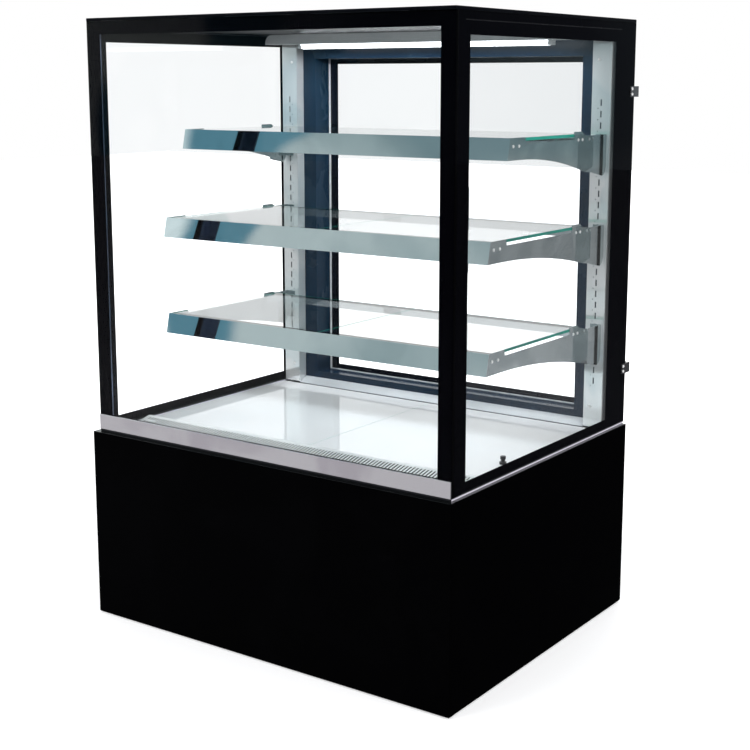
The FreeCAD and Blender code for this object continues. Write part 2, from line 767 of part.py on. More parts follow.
def shelf_rails(tag, front, level, long):
    """The leaning front rail and the rear rail, each with a ledge for the glass and two ears."""
    ear_out = plate_out - bracket_wall
    ledge = (level - shelf_glass_wall - 1 - rail_wall, level - shelf_glass_wall - 1)
    face = padded(f"{tag}RailFace", "YZ_Plane", [
        (0, 0), (-rail_lean, -bracket_front_height), (rail_wall - rail_lean, -bracket_front_height),
        (rail_wall, 0)], plate_out * 2)
    put(face, -plate_out, depth(front), level)
    ear = box(f"{tag}FrontEar", (ear_out - 2, ear_out), (depth(front - 1), depth(front + 45)),
              (level - 34, ledge[1]))
    front_rail = fuse(f"{tag}FrontRail", [
        face, ear, mirror(ear),
        box(f"{tag}FrontLedge", (-ear_out, ear_out), (depth(front - 1), depth(front + 22)), ledge)])
    rear_ear = box(f"{tag}RearEar", (ear_out - 2, ear_out), (depth(front + long - 44), depth(front + long - 3)),
                   (level - 26, ledge[1]))
    rear_rail = fuse(f"{tag}RearRail", [
        box(f"{tag}RearLedge", (-ear_out, ear_out), (depth(front + long - 26), depth(front + long - 3)), ledge),
        box(f"{tag}RearLeg", (-ear_out, ear_out), (depth(front + long - 3 - rail_wall), depth(front + long - 3)),
            (level - 26, ledge[1])),
        rear_ear, mirror(rear_ear)])
    return group(f"{tag}Rails", [front_rail, rear_rail])


def shelf_glass(tag, front, level, long):
    edge = plate_out - bracket_wall - 2.5
    pane = box(f"{tag}Pane", (0.5, edge), (depth(front + 2.2), depth(front + long - 5)),
               (level - shelf_glass_wall - 1, level - 1))
    return group(f"{tag}Panes", [pane, mirror(pane)])


screws = []


def screw(name, x, y, z, axis, head_first, shank):
    """A round-headed screw. head_first is +1 where the head points along the axis and -1 against it."""

    def set_back(amount):
        return (x - amount, y, z) if axis == "x" else (x, y - amount, z)

    head_place = set_back(screw_head_height if head_first < 0 else dim(0))
    stem_place = set_back(dim(shank) if head_first > 0 else dim(0))
    head = rod(name + "Head", screw_head_radius, screw_head_height, *head_place, axis)
    stem = rod(name + "Stem", screw_shank_radius, shank, *stem_place, axis)
    return fuse(name, [head, stem])


def shelves():
    plans = (("Top", "top", short_shelf_depth, 3), ("Middle", "middle", long_shelf_depth, 11),
             ("Bottom", "bottom", long_shelf_depth, 20))
    for tag, word, long, slot_number in plans:
        level = slot_level(slot_number) + shelf_above_slot
        front = plate_rear - long
        bracket = shelf_bracket(tag, front, level, long)
        node(group(f"{tag}Brackets", [bracket, mirror(bracket)]), f"{word}_shelf_brackets")
        node(shelf_rails(tag, front, level, long), f"{word}_shelf_rails")
        node(shelf_glass(tag, front, level, long), f"{word}_shelf_glass")
        for number, back in enumerate(front_screws):
            screws.append(screw(f"{tag}FrontScrew{number}", plate_out, depth(front + back), level - 16, "x", 1,
                                bracket_wall))
        for number, ahead in enumerate(rear_screws):
            screws.append(screw(f"{tag}RearScrew{number}", plate_out, depth(front + long - ahead), level - 13,
                                "x", 1, bracket_wall))


def screw_group():
    for number, level in enumerate(screw_levels):
        screws.append(screw(f"StandardScrew{number}", dot_x, depth(standard_face), level, "y", -1,
                            standard_depth))
    for end, middle in hinge_levels:
        for number, offset in enumerate((-5.5, 5.5)):
            screws.append(screw(f"Hinge{end}Screw{number}", case_half + hinge_plate, depth(case_depth_rear - 14),
                                middle + offset, "x", 1, hinge_plate))
    both = screws + [mirror(item) for item in screws]
    node(group("PanHeadScrews", both), "pan_head_screws")


# ---- rear frame, doors and hinges ----
opening_half = film_half - rear_stile
opening_foot = glass_foot + rear_sill
opening_head = glass_top - rear_head


def rear_frame():
    plate = box("RearFramePlate", (-film_half, film_half), (depth(frame_front), depth(frame_rear)),
                (glass_foot, glass_top))
    window = box("RearWindow", (-opening_half, opening_half), (depth(frame_front - 1), depth(frame_rear + 1)),
                 (opening_foot, opening_head))
    step = box("RearRebate", (-opening_half - rebate, opening_half + rebate),
               (depth(frame_rear - rebate_depth), depth(frame_rear + 1)),
               (opening_foot - rebate, opening_head + rebate))
    wall = rear_frame_wall
    across = (-film_half + wall, film_half - wall)
    through = (depth(frame_front + wall), depth(frame_rear - wall))
    stile_height = (glass_foot + wall, glass_top - wall)
    hollows = [
        box("HeadHollow", across, through, (opening_head + rebate + wall, glass_top - wall)),
        box("SillHollow", across, through, (glass_foot + wall, opening_foot - rebate - wall)),
        box("RightStileHollow", (opening_half + rebate + wall, film_half - wall), through, stile_height),
        box("LeftStileHollow", (-film_half + wall, -opening_half - rebate - wall), through, stile_height)]
    node(cut("RearFrame", plate, [window, step] + hollows), "rear_frame")


def door():
    """The right door; the left one mirrors it."""
    near = door_middle_gap / 2
    far = inner_half - door_side_gap
    foot = glass_foot + door_foot_gap
    head = glass_top - door_head_gap
    light = ((near + door_meeting_stile, far - door_hinge_stile), (foot + door_foot_rail, head - door_head_rail))
    slab = box("DoorSlab", (near, far), (depth(door_inner), depth(door_outer)), (foot, head))
    slab_round = soften("DoorSlabEdges", slab, 1.5,
                        lambda edge: edge.CenterOfMass.y > depth(door_outer).value - 0.1)
    hole = box("DoorLight", light[0], (depth(door_inner - 1), depth(door_outer + 1)), light[1])
    ring = cut("DoorRing", slab_round, [hole])
    first_pane = door_inner + 0.5
    spacer_start = first_pane + pane_wall
    second_pane = spacer_start + spacer_wall
    fin = window_plate(
        "DoorSpacer",
        ((light[0][0] - 1, light[0][1] + 1), (depth(spacer_start), depth(second_pane)),
         (light[1][0] - 1, light[1][1] + 1)),
        ((light[0][0] + spacer_height, light[0][1] - spacer_height),
         (depth(spacer_start - 1), depth(second_pane + 1)),
         (light[1][0] + spacer_height, light[1][1] - spacer_height)))
    knuckles = []
    bores = []
    for end, middle in hinge_levels:
        low = middle - knuckle_height / 2
        knuckles.append(rod(f"Knuckle{end}", knuckle_radius, knuckle_height, hinge_axis_x,
                            depth(hinge_axis_depth), low))
        knuckles.append(box(f"KnuckleWeb{end}", (hinge_axis_x - 12, hinge_axis_x),
                            (depth(door_outer - 0.5), depth(hinge_axis_depth + knuckle_radius)),
                            (low, low + knuckle_height)))
        bores.append(rod(f"KnuckleBore{end}", pin_radius + running_gap, knuckle_height + 2, hinge_axis_x,
                         depth(hinge_axis_depth), low - 1))
    frame = cut("DoorFrame", fuse("DoorBody", [ring, fin] + knuckles), bores)
    panes = group("DoorPanes", [
        box("InnerPane", light[0], (depth(first_pane), depth(spacer_start)), light[1]),
        box("OuterPane", light[0], (depth(second_pane), depth(second_pane + pane_wall)), light[1])])
    seal_outer = opening_half - 5.4 + gasket_width
    seal = window_plate(
        "DoorSeal",
        ((near + 2.5, seal_outer), (depth(frame_rear + gasket_gap), depth(door_inner)),
         (light[1][0] - gasket_width + 1, light[1][1] + gasket_width)),
        ((near + 18.5, seal_outer - gasket_width), (depth(frame_rear - 1), depth(door_inner + 1)),
         (light[1][0] + 1, light[1][1])))
    bar_low = base_height + handle_height
    bar_x = (near + 6, near + 17)
    bar = soften("HandleBarRound", box(
        "HandleBar", bar_x, (depth(door_outer + handle_reach - 7), depth(door_outer + handle_reach)),
        (bar_low, bar_low + handle_length)), 2.5, lambda edge: edge.Length > 5)
    post_x = near + 11.5
    handle = fuse("Handle", [bar] + [
        rod(f"HandlePost{number}", 4, handle_reach - 4, post_x, depth(door_outer), bar_low + up, "y")
        for number, up in enumerate((dim(15), handle_length - 15))])
    for item, word in ((frame, "frame"), (panes, "glass"), (seal, "gasket"), (handle, "handle")):
        node(item, f"right_door_{word}")
        node(mirror(item), f"left_door_{word}")


def hinge_brackets():
    brackets = []
    for end, middle in hinge_levels:
        low = middle - hinge_height / 2
        high = middle + hinge_height / 2
        lug = (hinge_height - knuckle_height) / 2 - 0.2
        shapes = [box(f"HingePlate{end}", (case_half, case_half + hinge_plate),
                      (depth(case_depth_rear - 20), depth(hinge_axis_depth + knuckle_radius)), (low, high)),
                  rod(f"HingePin{end}", pin_radius, hinge_height, hinge_axis_x, depth(hinge_axis_depth), low)]
        for place, start in (("Foot", low), ("Head", high - lug)):
            shapes.append(rod(f"HingeLug{end}{place}", knuckle_radius, lug, hinge_axis_x,
                              depth(hinge_axis_depth), start))
            shapes.append(box(f"HingeArm{end}{place}", (hinge_axis_x, case_half + hinge_plate),
                              (depth(hinge_axis_depth - knuckle_radius), depth(hinge_axis_depth + knuckle_radius)),
                              (start, start + lug)))
        screw_holes = [rod(f"HingeHole{end}{number}", screw_shank_radius + screw_gap, hinge_plate + 2,
                           case_half - 1, depth(case_depth_rear - 14), middle + offset, "x")
                       for number, offset in enumerate((-5.5, 5.5))]
        brackets.append(cut(f"HingeBracket{end}", fuse(f"HingeSolid{end}", shapes), screw_holes))
    node(group("HingeBrackets", brackets + [mirror(item) for item in brackets]), "hinge_brackets")


# ---- refrigeration ----
evaporator_front = grille_back + evaporator_gap
evaporator_rear = evaporator_front + evaporator_depth
evaporator_height = tub_height - tub_wall - evaporator_head_gap
evaporator_reach = tub_half - tub_wall - evaporator_side_gap
evaporator_plate_depth = evaporator_rear + 45
coil_plate = 2


def evaporator():
    shell = cut("TubShell", box("TubOuter", (-tub_half, tub_half), (depth(tub_front), depth(tub_rear)),
                                (tub_foot, tub_top)),
                [box("TubInner", (-tub_half + tub_wall, tub_half - tub_wall),
                     (depth(tub_front + tub_wall), depth(tub_rear - tub_wall)), (tub_floor, tub_top + 1))])
    rim = [box(f"TubRim{side}", x, (depth(grille_back + 20), depth(tub_rear - 40)), (tub_top - 12, tub_top))
           for side, x in (("Right", (tub_half - 1, frame_in)), ("Left", (-frame_in, -tub_half + 1)))]
    grille_seat = box("GrilleSeat", (-grille_half_width - 1, grille_half_width + 1),
                      (depth(tub_front + tub_wall), depth(grille_back + 1)),
                      (grille_height(grille_front) - grille_wall, tub_top + 1))
    node(cut("Tub", fuse("TubWithRim", [shell] + rim), [grille_seat]), "evaporator_tub")
    floor = tub_floor
    coil = []
    fins = int((evaporator_reach * 2 - 36).value / evaporator_fin_pitch.value) + 1
    first = -evaporator_fin_pitch * (fins - 1) / 2
    for number in range(fins):
        x = first + evaporator_fin_pitch * number
        coil.append(box(f"EvaporatorFin{number}", (x - 0.5, x + 0.5),
                        (depth(evaporator_front + 5), depth(evaporator_rear - 5)),
                        (floor + 6, floor + evaporator_height - 4)))
    for number, x in enumerate((-evaporator_reach + 12, evaporator_reach - 14)):
        coil.append(box(f"EvaporatorEnd{number}", (x, x + coil_plate),
                        (depth(evaporator_front), depth(evaporator_rear)), (floor, floor + evaporator_height)))
    columns = rows = 3
    column_step = (evaporator_depth - 50) / (columns - 1)
    row_step = (evaporator_height - 38) / (rows - 1)
    for column in range(columns):
        for row in range(rows):
            coil.append(rod(f"EvaporatorTube{column}{row}", coil_tube_radius, evaporator_reach * 2,
                            -evaporator_reach, depth(evaporator_front + 25 + column_step * column),
                            floor + 20 + row_step * row, "x"))
    node(fuse("EvaporatorCoil", coil), "evaporator_coil")


def fan_blades(tag, hub_radius, tip_radius, chord, hub_depth, x, y, z):
    """A fan with five pitched blades that turns about an axis along Y."""
    blades = []
    for number in range(5):
        blade = doc.addObject("Part::Box", f"{tag}Blade{number}")
        bind(blade, "Length", chord)
        bind(blade, "Width", 1.6)
        bind(blade, "Height", tip_radius - hub_radius * 0.6)
        pitch = Rotation(Vector(0, 0, 1), 32)
        turn = Rotation(Vector(0, 1, 0), 72 * number)
        local = Placement(Vector(), pitch) * Placement(Vector(-dim(chord).value / 2, -0.8, 0), Rotation())
        lifted = Placement(Vector(0, 0, dim(hub_radius).value * 0.6), Rotation()) * local
        blade.Placement = Placement(Vector(), turn) * lifted
        blades.append(blade)
    hub = rod(f"{tag}Hub", hub_radius, hub_depth, 0, -dim(hub_depth) / 2, 0, "y")
    bore = rod(f"{tag}Bore", motor_shaft_radius + running_gap, hub_depth + 2, 0, -dim(hub_depth) / 2 - 1, 0, "y")
    fan = cut(f"{tag}Fan", fuse(f"{tag}Rotor", [hub] + blades), [bore])
    return put(fan, x, y, z)


def motor_plate(tag, plate, plate_depth, hole_radius, motor_radius, motor, x, z, shaft_end, arms):
    """A plate with a round hole, and a motor on four arms across it. Its shaft runs along Y.

    motor, shaft_end and arms are places along Y, counted from the plate's front face."""

    def behind_plate(start, end):
        return depth(plate_depth + start), depth(plate_depth + end)

    shapes = [cut(f"{tag}Opened", box(f"{tag}Plate", plate[0], behind_plate(0, 2), plate[1]),
                  [rod(f"{tag}Hole", hole_radius, 6, x, depth(plate_depth - 2), z, "y")])]
    shaft = sorted((motor[0], shaft_end))
    shapes.append(rod(f"{tag}Motor", motor_radius, motor[1] - motor[0], x, depth(plate_depth + motor[0]), z, "y"))
    shapes.append(rod(f"{tag}Shaft", motor_shaft_radius, shaft[1] - shaft[0], x, depth(plate_depth + shaft[0]), z,
                      "y"))
    reach = hole_radius + 8
    arm = 4
    shapes.append(box(f"{tag}ArmAcross", (x - reach, x + reach), behind_plate(*arms), (z - arm, z + arm)))
    shapes.append(box(f"{tag}ArmUp", (x - arm, x + arm), behind_plate(*arms), (z - reach + 2, z + reach - 2)))
    span = (0, arms[1]) if arms[1] > 0 else (arms[0], 2)
    for number, side in enumerate((-1, 1)):
        foot = x + side * (reach - 3)
        shapes.append(box(f"{tag}ArmFoot{number}", (foot - 3, foot + 3), behind_plate(*span), (z - arm, z + arm)))
    return fuse(f"{tag}Assembly", shapes)


evaporator_fan_z = tub_floor + 53
condenser_fan_x = (condenser_left + condenser_right) / 2
condenser_fan_z = pan_top + condenser_height / 2 + 3


def fans():
    plate = ((-tub_half + tub_wall, tub_half - tub_wall), (tub_floor, tub_floor + tub_height - tub_wall - 5))
    node(motor_plate("EvaporatorFanPlate", plate, evaporator_plate_depth, evaporator_fan_radius + 3, 20, (18, 50),
                     dim(0), evaporator_fan_z, -8, (16, 20)), "evaporator_fan_plate")
    node(fan_blades("Evaporator", 13, evaporator_fan_radius, 26, 14, 0, depth(evaporator_plate_depth + 1),
                    evaporator_fan_z), "evaporator_fan")
    plate = ((condenser_left - 2, condenser_right + 2), (pan_top, pan_top + condenser_height))
    node(motor_plate("FanShroud", plate, shroud_depth, condenser_fan_radius + 4, 28, (-59, -33), condenser_fan_x,
                     condenser_fan_z, 5, (-37, -33)), "fan_shroud")
    node(fan_blades("Condenser", 24, condenser_fan_radius, 44, 18, condenser_fan_x, depth(shroud_depth - 7),
                    condenser_fan_z), "condenser_fan")


coil_tube_end = condenser_right + 8
riser_x = coil_tube_end + riser_gap
can_x = riser_x + 130
can_depth = shroud_depth - 75
stub_reach = compressor_radius + 8
line_level = pan_top + 77


def condenser():
    shapes = []
    foot = pan_top
    fins = int((condenser_width - 16).value / condenser_fin_pitch.value) + 1
    for number in range(fins):
        x = condenser_left + 8 + condenser_fin_pitch * number
        shapes.append(box(f"CondenserFin{number}", (x - 0.5, x + 0.5),
                          (depth(condenser_front + 13), depth(condenser_rear - 5)),
                          (foot + 6, foot + condenser_height - 4)))
    for number, x in enumerate((condenser_left, condenser_right - coil_plate)):
        shapes.append(box(f"CondenserEnd{number}", (x, x + coil_plate),
                          (depth(condenser_front), depth(condenser_rear)), (foot, foot + condenser_height)))
    row_step = 30
    rows = int((condenser_height - 46).value / row_step) + 1
    for row in range(rows):
        shapes.append(rod(f"CondenserTube{row}", coil_tube_radius, condenser_width + 16, condenser_left - 8,
                          depth(condenser_front + 43), foot + 26 + row_step * row, "x"))
    node(fuse("CondenserCoil", shapes), "condenser_coil")


def compressor():
    can_y = depth(can_depth)
    deck = pan_top + compressor_base
    dome = doc.addObject("Part::Sphere", "CompressorDome")
    bind(dome, "Radius", compressor_radius)
    put(dome, can_x, can_y, deck + compressor_height - compressor_radius)
    foot_half = (compressor_radius + 25, compressor_radius - 10)
    shapes = [rod("CompressorCan", compressor_radius, compressor_height - compressor_radius, can_x, can_y, deck),
              dome,
              box("CompressorFoot", (can_x - foot_half[0], can_x + foot_half[0]),
                  (can_y - foot_half[1], can_y + foot_half[1]), (deck, deck + 3)),
              box("TerminalBox", (can_x + compressor_radius - 8, can_x + compressor_radius + 26),
                  (can_y - 30, can_y + 30), (deck + 30, deck + 85))]
    for number, (side, end) in enumerate(((-1, -1), (-1, 1), (1, -1), (1, 1))):
        shapes.append(rod(f"CompressorBuffer{number}", 11, compressor_base, can_x + side * (foot_half[0] - 15),
                          can_y + end * (foot_half[1] - 15), pan_top))
    stub_length = 20
    shapes.append(rod("DischargeStub", pipe_radius + 1, stub_length, can_x - stub_reach, can_y, line_level, "x"))
    shapes.append(rod("SuctionStub", pipe_radius + 1, stub_length, can_x, can_y - stub_reach, line_level, "y"))
    node(fuse("Compressor", shapes), "compressor")


def pipe(points, bend):
    """A round pipe along straight runs joined by tangent arcs. It is swept in Part because its path is in space."""
    spots = [Vector(*[dim(value).value for value in point]) for point in points]
    edges = []
    start = spots[0]
    for before, corner, after in zip(spots, spots[1:], spots[2:]):
        inward = (before - corner).normalize()
        outward = (after - corner).normalize()
        half = math.acos(max(-1, min(1, inward.dot(outward)))) / 2
        back = bend / math.tan(half)
        first = corner + inward * back
        last = corner + outward * back
        bisector = (inward + outward).normalize()
        middle = corner + bisector * (bend / math.sin(half) - bend)
        edges.append(Part.LineSegment(start, first).toShape())
        edges.append(Part.Arc(first, middle, last).toShape())
        start = last
    edges.append(Part.LineSegment(start, spots[-1]).toShape())
    path = Part.Wire(edges)
    circle = Part.Circle(spots[0], spots[1] - spots[0], pipe_radius.value)
    return path.makePipeShell([Part.Wire([circle.toShape()])], True, True)


def refrigerant_lines():
    coil_y = depth(condenser_front + 43)
    behind_y = depth(condenser_rear + 15)
    liquid_y = depth(can_depth - 20)
    suction_y = depth(can_depth - 120)
    low = pan_top + 26
    high = low + 180
    discharge = pipe([(can_x - stub_reach, depth(can_depth), line_level), (riser_x, depth(can_depth), line_level),
                      (riser_x, behind_y, line_level), (coil_tube_end + 44, behind_y, high),
                      (coil_tube_end + 44, coil_y, high), (coil_tube_end, coil_y, high)], 18)
    liquid = pipe([(coil_tube_end, coil_y, low), (coil_tube_end + 24, coil_y, low),
                   (coil_tube_end + 24, liquid_y, low), (coil_tube_end + 24, liquid_y, tub_foot)], 12)
    suction = pipe([(can_x, depth(can_depth - stub_reach), line_level), (can_x, suction_y, line_level),
                    (can_x, suction_y, tub_foot)], 18)
    item = doc.addObject("Part::Feature", "RefrigerantLines")
    item.Shape = Part.makeCompound([discharge, liquid, suction])
    node(item, "refrigerant_lines")


# ---- controls at the rear ----
plate_out_depth = base_depth + panel_sheet
controller_x = (control_left + 25, control_left + 103)
controller_z = (control_foot + 35, control_foot + 70)
key_xs = (control_left + 81, control_left + 89, control_left + 97)
switch_xs = (control_left + 130, control_left + 165)
switch_z = control_foot + 52


def controls():
    back = depth(base_depth)
    face = box("ControlFace", (control_x[0] - control_overlap, control_x[1] + control_overlap),
               (back, depth(plate_out_depth)),
               (control_z[0] - control_overlap, control_z[1] + control_overlap))
    tray = cut("ControlTray", box("TrayOuter", (control_x[0] + 1, control_x[1] - 1), (depth(base_depth - 60), back),
                                  (control_z[0] + 1, control_z[1] - 1)),
               [box("TrayInner", (control_x[0] + 3, control_x[1] - 3), (depth(base_depth - 58), back),
                    (control_z[0] + 3, control_z[1] - 3))])
    holes = [box("ControllerHole", (controller_x[0] + 3, controller_x[1] - 3),
                 (depth(base_depth - 1), depth(plate_out_depth + 1)), (controller_z[0] + 3, controller_z[1] - 3))]
    collars = []
    for number, x in enumerate(switch_xs):
        half_w = rocker_width / 2
        half_h = rocker_height / 2
        collars.append(window_plate(
            f"SwitchCollar{number}",
            ((x - half_w - 3, x + half_w + 3), (depth(base_depth - 12), depth(plate_out_depth + 2)),
             (switch_z - half_h - 3.5, switch_z + half_h + 3.5)),
            ((x - half_w - 0.3, x + half_w + 0.3), (depth(base_depth - 14), depth(plate_out_depth + 3)),
             (switch_z - half_h - 0.8, switch_z + half_h + 0.8))))
        holes.append(box(f"SwitchHole{number}", (x - half_w - 1, x + half_w + 1),
                         (depth(base_depth - 1), depth(plate_out_depth + 1)),
                         (switch_z - half_h - 1.5, switch_z + half_h + 1.5)))
        collars.append(rod(f"SwitchPin{number}", 1.2, rocker_width + 2, x - half_w - 1,
                           depth(base_depth - 4), switch_z, "x"))
    opened = cut("ControlOpened", fuse("ControlShell", [face, tray]), holes)
    node(fuse("ControlPanel", [opened] + collars), "control_panel")

    bezel = box("ControllerBezel", controller_x, (depth(plate_out_depth), depth(plate_out_depth + 7)), controller_z)
    block = box("ControllerBlock", (controller_x[0] + 3.5, controller_x[1] - 3.5),
                (depth(base_depth - 50), depth(plate_out_depth)), (controller_z[0] + 3.5, controller_z[1] - 3.5))
    pockets = [box("DisplayPocket", (controller_x[0] + 6, controller_x[1] - 28),
                   (depth(plate_out_depth + 6), depth(plate_out_depth + 8)), (controller_z[0] + 7, controller_z[1] - 7))]
    key_z = controller_z[0] + 17.5
    for number, x in enumerate(key_xs):
        pockets.append(box(f"KeyPocket{number}", (x - 3.3, x + 3.3), (depth(plate_out_depth + 3.5),
                                                                      depth(plate_out_depth + 8)),
                           (key_z - 5.3, key_z + 5.3)))
    node(cut("Controller", fuse("ControllerBody", [bezel, block]), pockets), "temperature_controller")
    for x, word in zip(key_xs, ("set", "down", "up")):
        key = box(f"Key{word.title()}", (x - 3, x + 3),
                  (depth(plate_out_depth + 3.5 + key_travel + 0.3), depth(plate_out_depth + 8.2)),
                  (key_z - 5, key_z + 5))
        node(soften(f"Key{word.title()}Round", key, 0.8,
                    lambda edge: edge.CenterOfMass.y > depth(plate_out_depth + 8.1).value), f"{word}_key")
    for x, word in zip(switch_xs, ("power", "light")):
        tall = rocker_height / 2 - 0.6
        dip = tall * math.tan(math.radians(rocker_tilt.value))
        rocker = padded(f"{word.title()}Rocker", "YZ_Plane", [
            (-3, -4), (7, -tall), (7 - dip, 0), (7, tall), (-3, 4)], rocker_width)
        bore = rod(f"{word.title()}RockerBore", 1.2 + running_gap, rocker_width + 2, -1, 0, 0, "x")
        item = cut(f"{word.title()}Switch", rocker, [bore])
        item.Placement = Placement(Vector(), Rotation(Vector(1, 0, 0), rocker_tilt.value))
        put(item, x - rocker_width / 2, depth(base_depth - 4), switch_z)
        node(item, f"{word}_switch")

    socket = fuse("InletSolid", [
        box("InletFlange", (inlet_x[0] - 10, inlet_x[1] + 10), (depth(base_depth), depth(base_depth + 3)),
            (inlet_z[0] - 3, inlet_z[1] + 3)),
        box("InletBlock", (inlet_x[0] + 0.5, inlet_x[1] - 0.5), (depth(base_depth - 28), depth(base_depth)),
            (inlet_z[0] + 0.5, inlet_z[1] - 0.5))])
    recess = box("InletRecess", (inlet_x[0] + 2.5, inlet_x[1] - 2.5), (depth(base_depth - 14), depth(base_depth + 4)),
                 (inlet_z[0] + 2.5, inlet_z[1] - 2.5))
    blades = [box(f"InletBlade{number}", (inlet_middle + aside - 1, inlet_middle + aside + 1),
                  (depth(base_depth - 15), depth(base_depth - 1)), (inlet_z[0] + up, inlet_z[0] + up + 5))
              for number, (aside, up) in enumerate(((-7, 6), (0, 13), (7, 6)))]
    node(fuse("Inlet", [cut("InletOpened", socket, [recess])] + blades), "power_inlet")


# ---- build, check and write ----
base_panels()
base_frame()
base_pan_and_feet()
service_grille()
glass_case()
deck_and_grille()
ceiling_light()
shelf_standards()
shelves()
screw_group()
rear_frame()
door()
hinge_brackets()
evaporator()
fans()
condenser()
compressor()
refrigerant_lines()
controls()
doc.recompute()

faults = []
for item in doc.Objects:
    if "Invalid" in item.State or "Error" in item.State:
        faults.append(f"{item.Name}: {item.State}")
for item in pieces:
    if item.Shape.isNull() or not item.Shape.isValid() or not item.Shape.Solids:
        faults.append(f"{item.Label}: bad shape")
if faults:
    raise RuntimeError("\n".join(faults))

os.makedirs("parts", exist_ok=True)
for item in pieces:
    item.Shape.exportStep(os.path.join("parts", item.Label + ".step"))
print(len(pieces), "nodes written")
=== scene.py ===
import json
import math

import bmesh
import bpy
from mathutils import Matrix, Vector


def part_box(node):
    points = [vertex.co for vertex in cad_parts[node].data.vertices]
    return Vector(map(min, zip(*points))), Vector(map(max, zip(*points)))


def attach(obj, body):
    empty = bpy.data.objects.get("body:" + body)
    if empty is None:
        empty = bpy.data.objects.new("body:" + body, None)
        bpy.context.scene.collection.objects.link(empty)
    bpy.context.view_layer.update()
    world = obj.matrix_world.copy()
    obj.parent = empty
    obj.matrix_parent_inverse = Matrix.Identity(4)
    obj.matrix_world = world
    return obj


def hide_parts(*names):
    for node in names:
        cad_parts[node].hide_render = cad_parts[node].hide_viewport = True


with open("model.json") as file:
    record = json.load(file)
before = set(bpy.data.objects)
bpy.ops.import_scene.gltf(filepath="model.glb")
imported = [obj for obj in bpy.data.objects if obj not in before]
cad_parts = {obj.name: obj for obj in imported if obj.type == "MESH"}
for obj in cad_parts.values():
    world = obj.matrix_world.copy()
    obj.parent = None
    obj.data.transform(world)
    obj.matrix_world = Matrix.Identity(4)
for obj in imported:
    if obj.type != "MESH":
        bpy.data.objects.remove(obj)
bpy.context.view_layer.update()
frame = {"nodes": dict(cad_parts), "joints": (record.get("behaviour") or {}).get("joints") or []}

# A refrigerated bakery display case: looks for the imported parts, in metres, in the row's own frame.

NODES = frame["nodes"]
MM = 0.001


# ---- small helpers ----
def lowest(node):
    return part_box(node)[0]


def highest(node):
    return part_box(node)[1]


def joint_place(name):
    return next(Vector(joint["pos_m"]) for joint in frame["joints"] if joint["name"] == name)


def round_point(angle):
    """Across and along at an angle in degrees, on a circle of radius 1."""
    turn = math.radians(angle)
    return math.cos(turn), math.sin(turn)


def mesh_object(name, mesh, finish, body="case"):
    """A finished piece: one plain mesh that sits at the origin and rides on a body."""
    piece = bpy.data.objects.new(name, mesh)
    bpy.context.scene.collection.objects.link(piece)
    piece.data.materials.clear()
    piece.data.materials.append(FINISHES[finish])
    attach(piece, body)
    return piece


def shape_object(name, shape, finish, body="case", smooth_angle=35):
    """A finished piece made from a bmesh."""
    return mesh_object(name, from_bmesh(shape, name, smooth_angle), finish, body)


def from_bmesh(shape, name, smooth_angle=35):
    """Closes up a bmesh, points its faces outwards and makes it a mesh with smooth rounds."""
    bmesh.ops.remove_doubles(shape, verts=shape.verts, dist=1e-6)
    bmesh.ops.recalc_face_normals(shape, faces=shape.faces)
    mesh = bpy.data.meshes.new(name)
    shape.to_mesh(mesh)
    shape.free()
    mesh.shade_smooth()
    mesh.set_sharp_from_angle(angle=math.radians(smooth_angle))
    return mesh


def add_block(shape, low, high, bevel=0.0):
    """A box between two corners with softened edges."""
    low, high = Vector(low), Vector(high)
    made = bmesh.ops.create_cube(shape, size=1.0)
    span = Matrix.Diagonal((*(high - low), 1.0))
    bmesh.ops.transform(shape, matrix=Matrix.Translation((low + high) / 2) @ span, verts=made["verts"])
    if bevel:
        edges = list({edge for vert in made["verts"] for edge in vert.link_edges})
        bmesh.ops.bevel(shape, geom=edges, offset=bevel, segments=3, affect="EDGES", profile=0.6)


def add_lathe(shape, profile, place, axis=(0, 0, 1), steps=40):
    """Turns a profile of (radius, height) pairs about an axis through place."""
    turn = Vector((0, 0, 1)).rotation_difference(Vector(axis)).to_matrix().to_4x4()
    matrix = Matrix.Translation(Vector(place)) @ turn
    rings = []
    for radius, height in profile:
        if radius < 1e-6:
            rings.append([shape.verts.new(matrix @ Vector((0, 0, height)))])
            continue
        angles = (2 * math.pi * step / steps for step in range(steps))
        rings.append([shape.verts.new(matrix @ Vector((radius * math.cos(a), radius * math.sin(a), height)))
                      for a in angles])
    for lower, upper in zip(rings, rings[1:]):
        for step in range(steps):
            following = (step + 1) % steps
            if len(lower) == 1:
                shape.faces.new((lower[0], upper[step], upper[following]))
            elif len(upper) == 1:
                shape.faces.new((lower[step], lower[following], upper[0]))
            else:
                shape.faces.new((lower[step], lower[following], upper[following], upper[step]))


def add_pipe(shape, path, radius, sides=14):
    """A round pipe through a list of points, closed at both ends."""
    points = [Vector(point) for point in path]
    rings = []
    up = None
    for number, point in enumerate(points):
        before = points[max(number - 1, 0)]
        after = points[min(number + 1, len(points) - 1)]
        along = (after - before).normalized()
        if up is None:
            up = along.orthogonal().normalized()
        up = (up - along * up.dot(along)).normalized()
        side = along.cross(up)
        rings.append([shape.verts.new(point + (up * math.cos(a) + side * math.sin(a)) * radius)
                      for a in (2 * math.pi * step / sides for step in range(sides))])
    for lower, upper in zip(rings, rings[1:]):
        for step in range(sides):
            following = (step + 1) % sides
            shape.faces.new((lower[step], lower[following], upper[following], upper[step]))
    shape.faces.new(rings[0])
    shape.faces.new(list(reversed(rings[-1])))


def arc_points(centre, first, second, radius, start, end, steps=10):
    """Points on an arc in the plane of two directions, from a start angle to an end angle in degrees."""
    centre, first, second = Vector(centre), Vector(first), Vector(second)
    angles = (math.radians(start + (end - start) * step / steps) for step in range(steps + 1))
    return [centre + (first * math.cos(a) + second * math.sin(a)) * radius for a in angles]


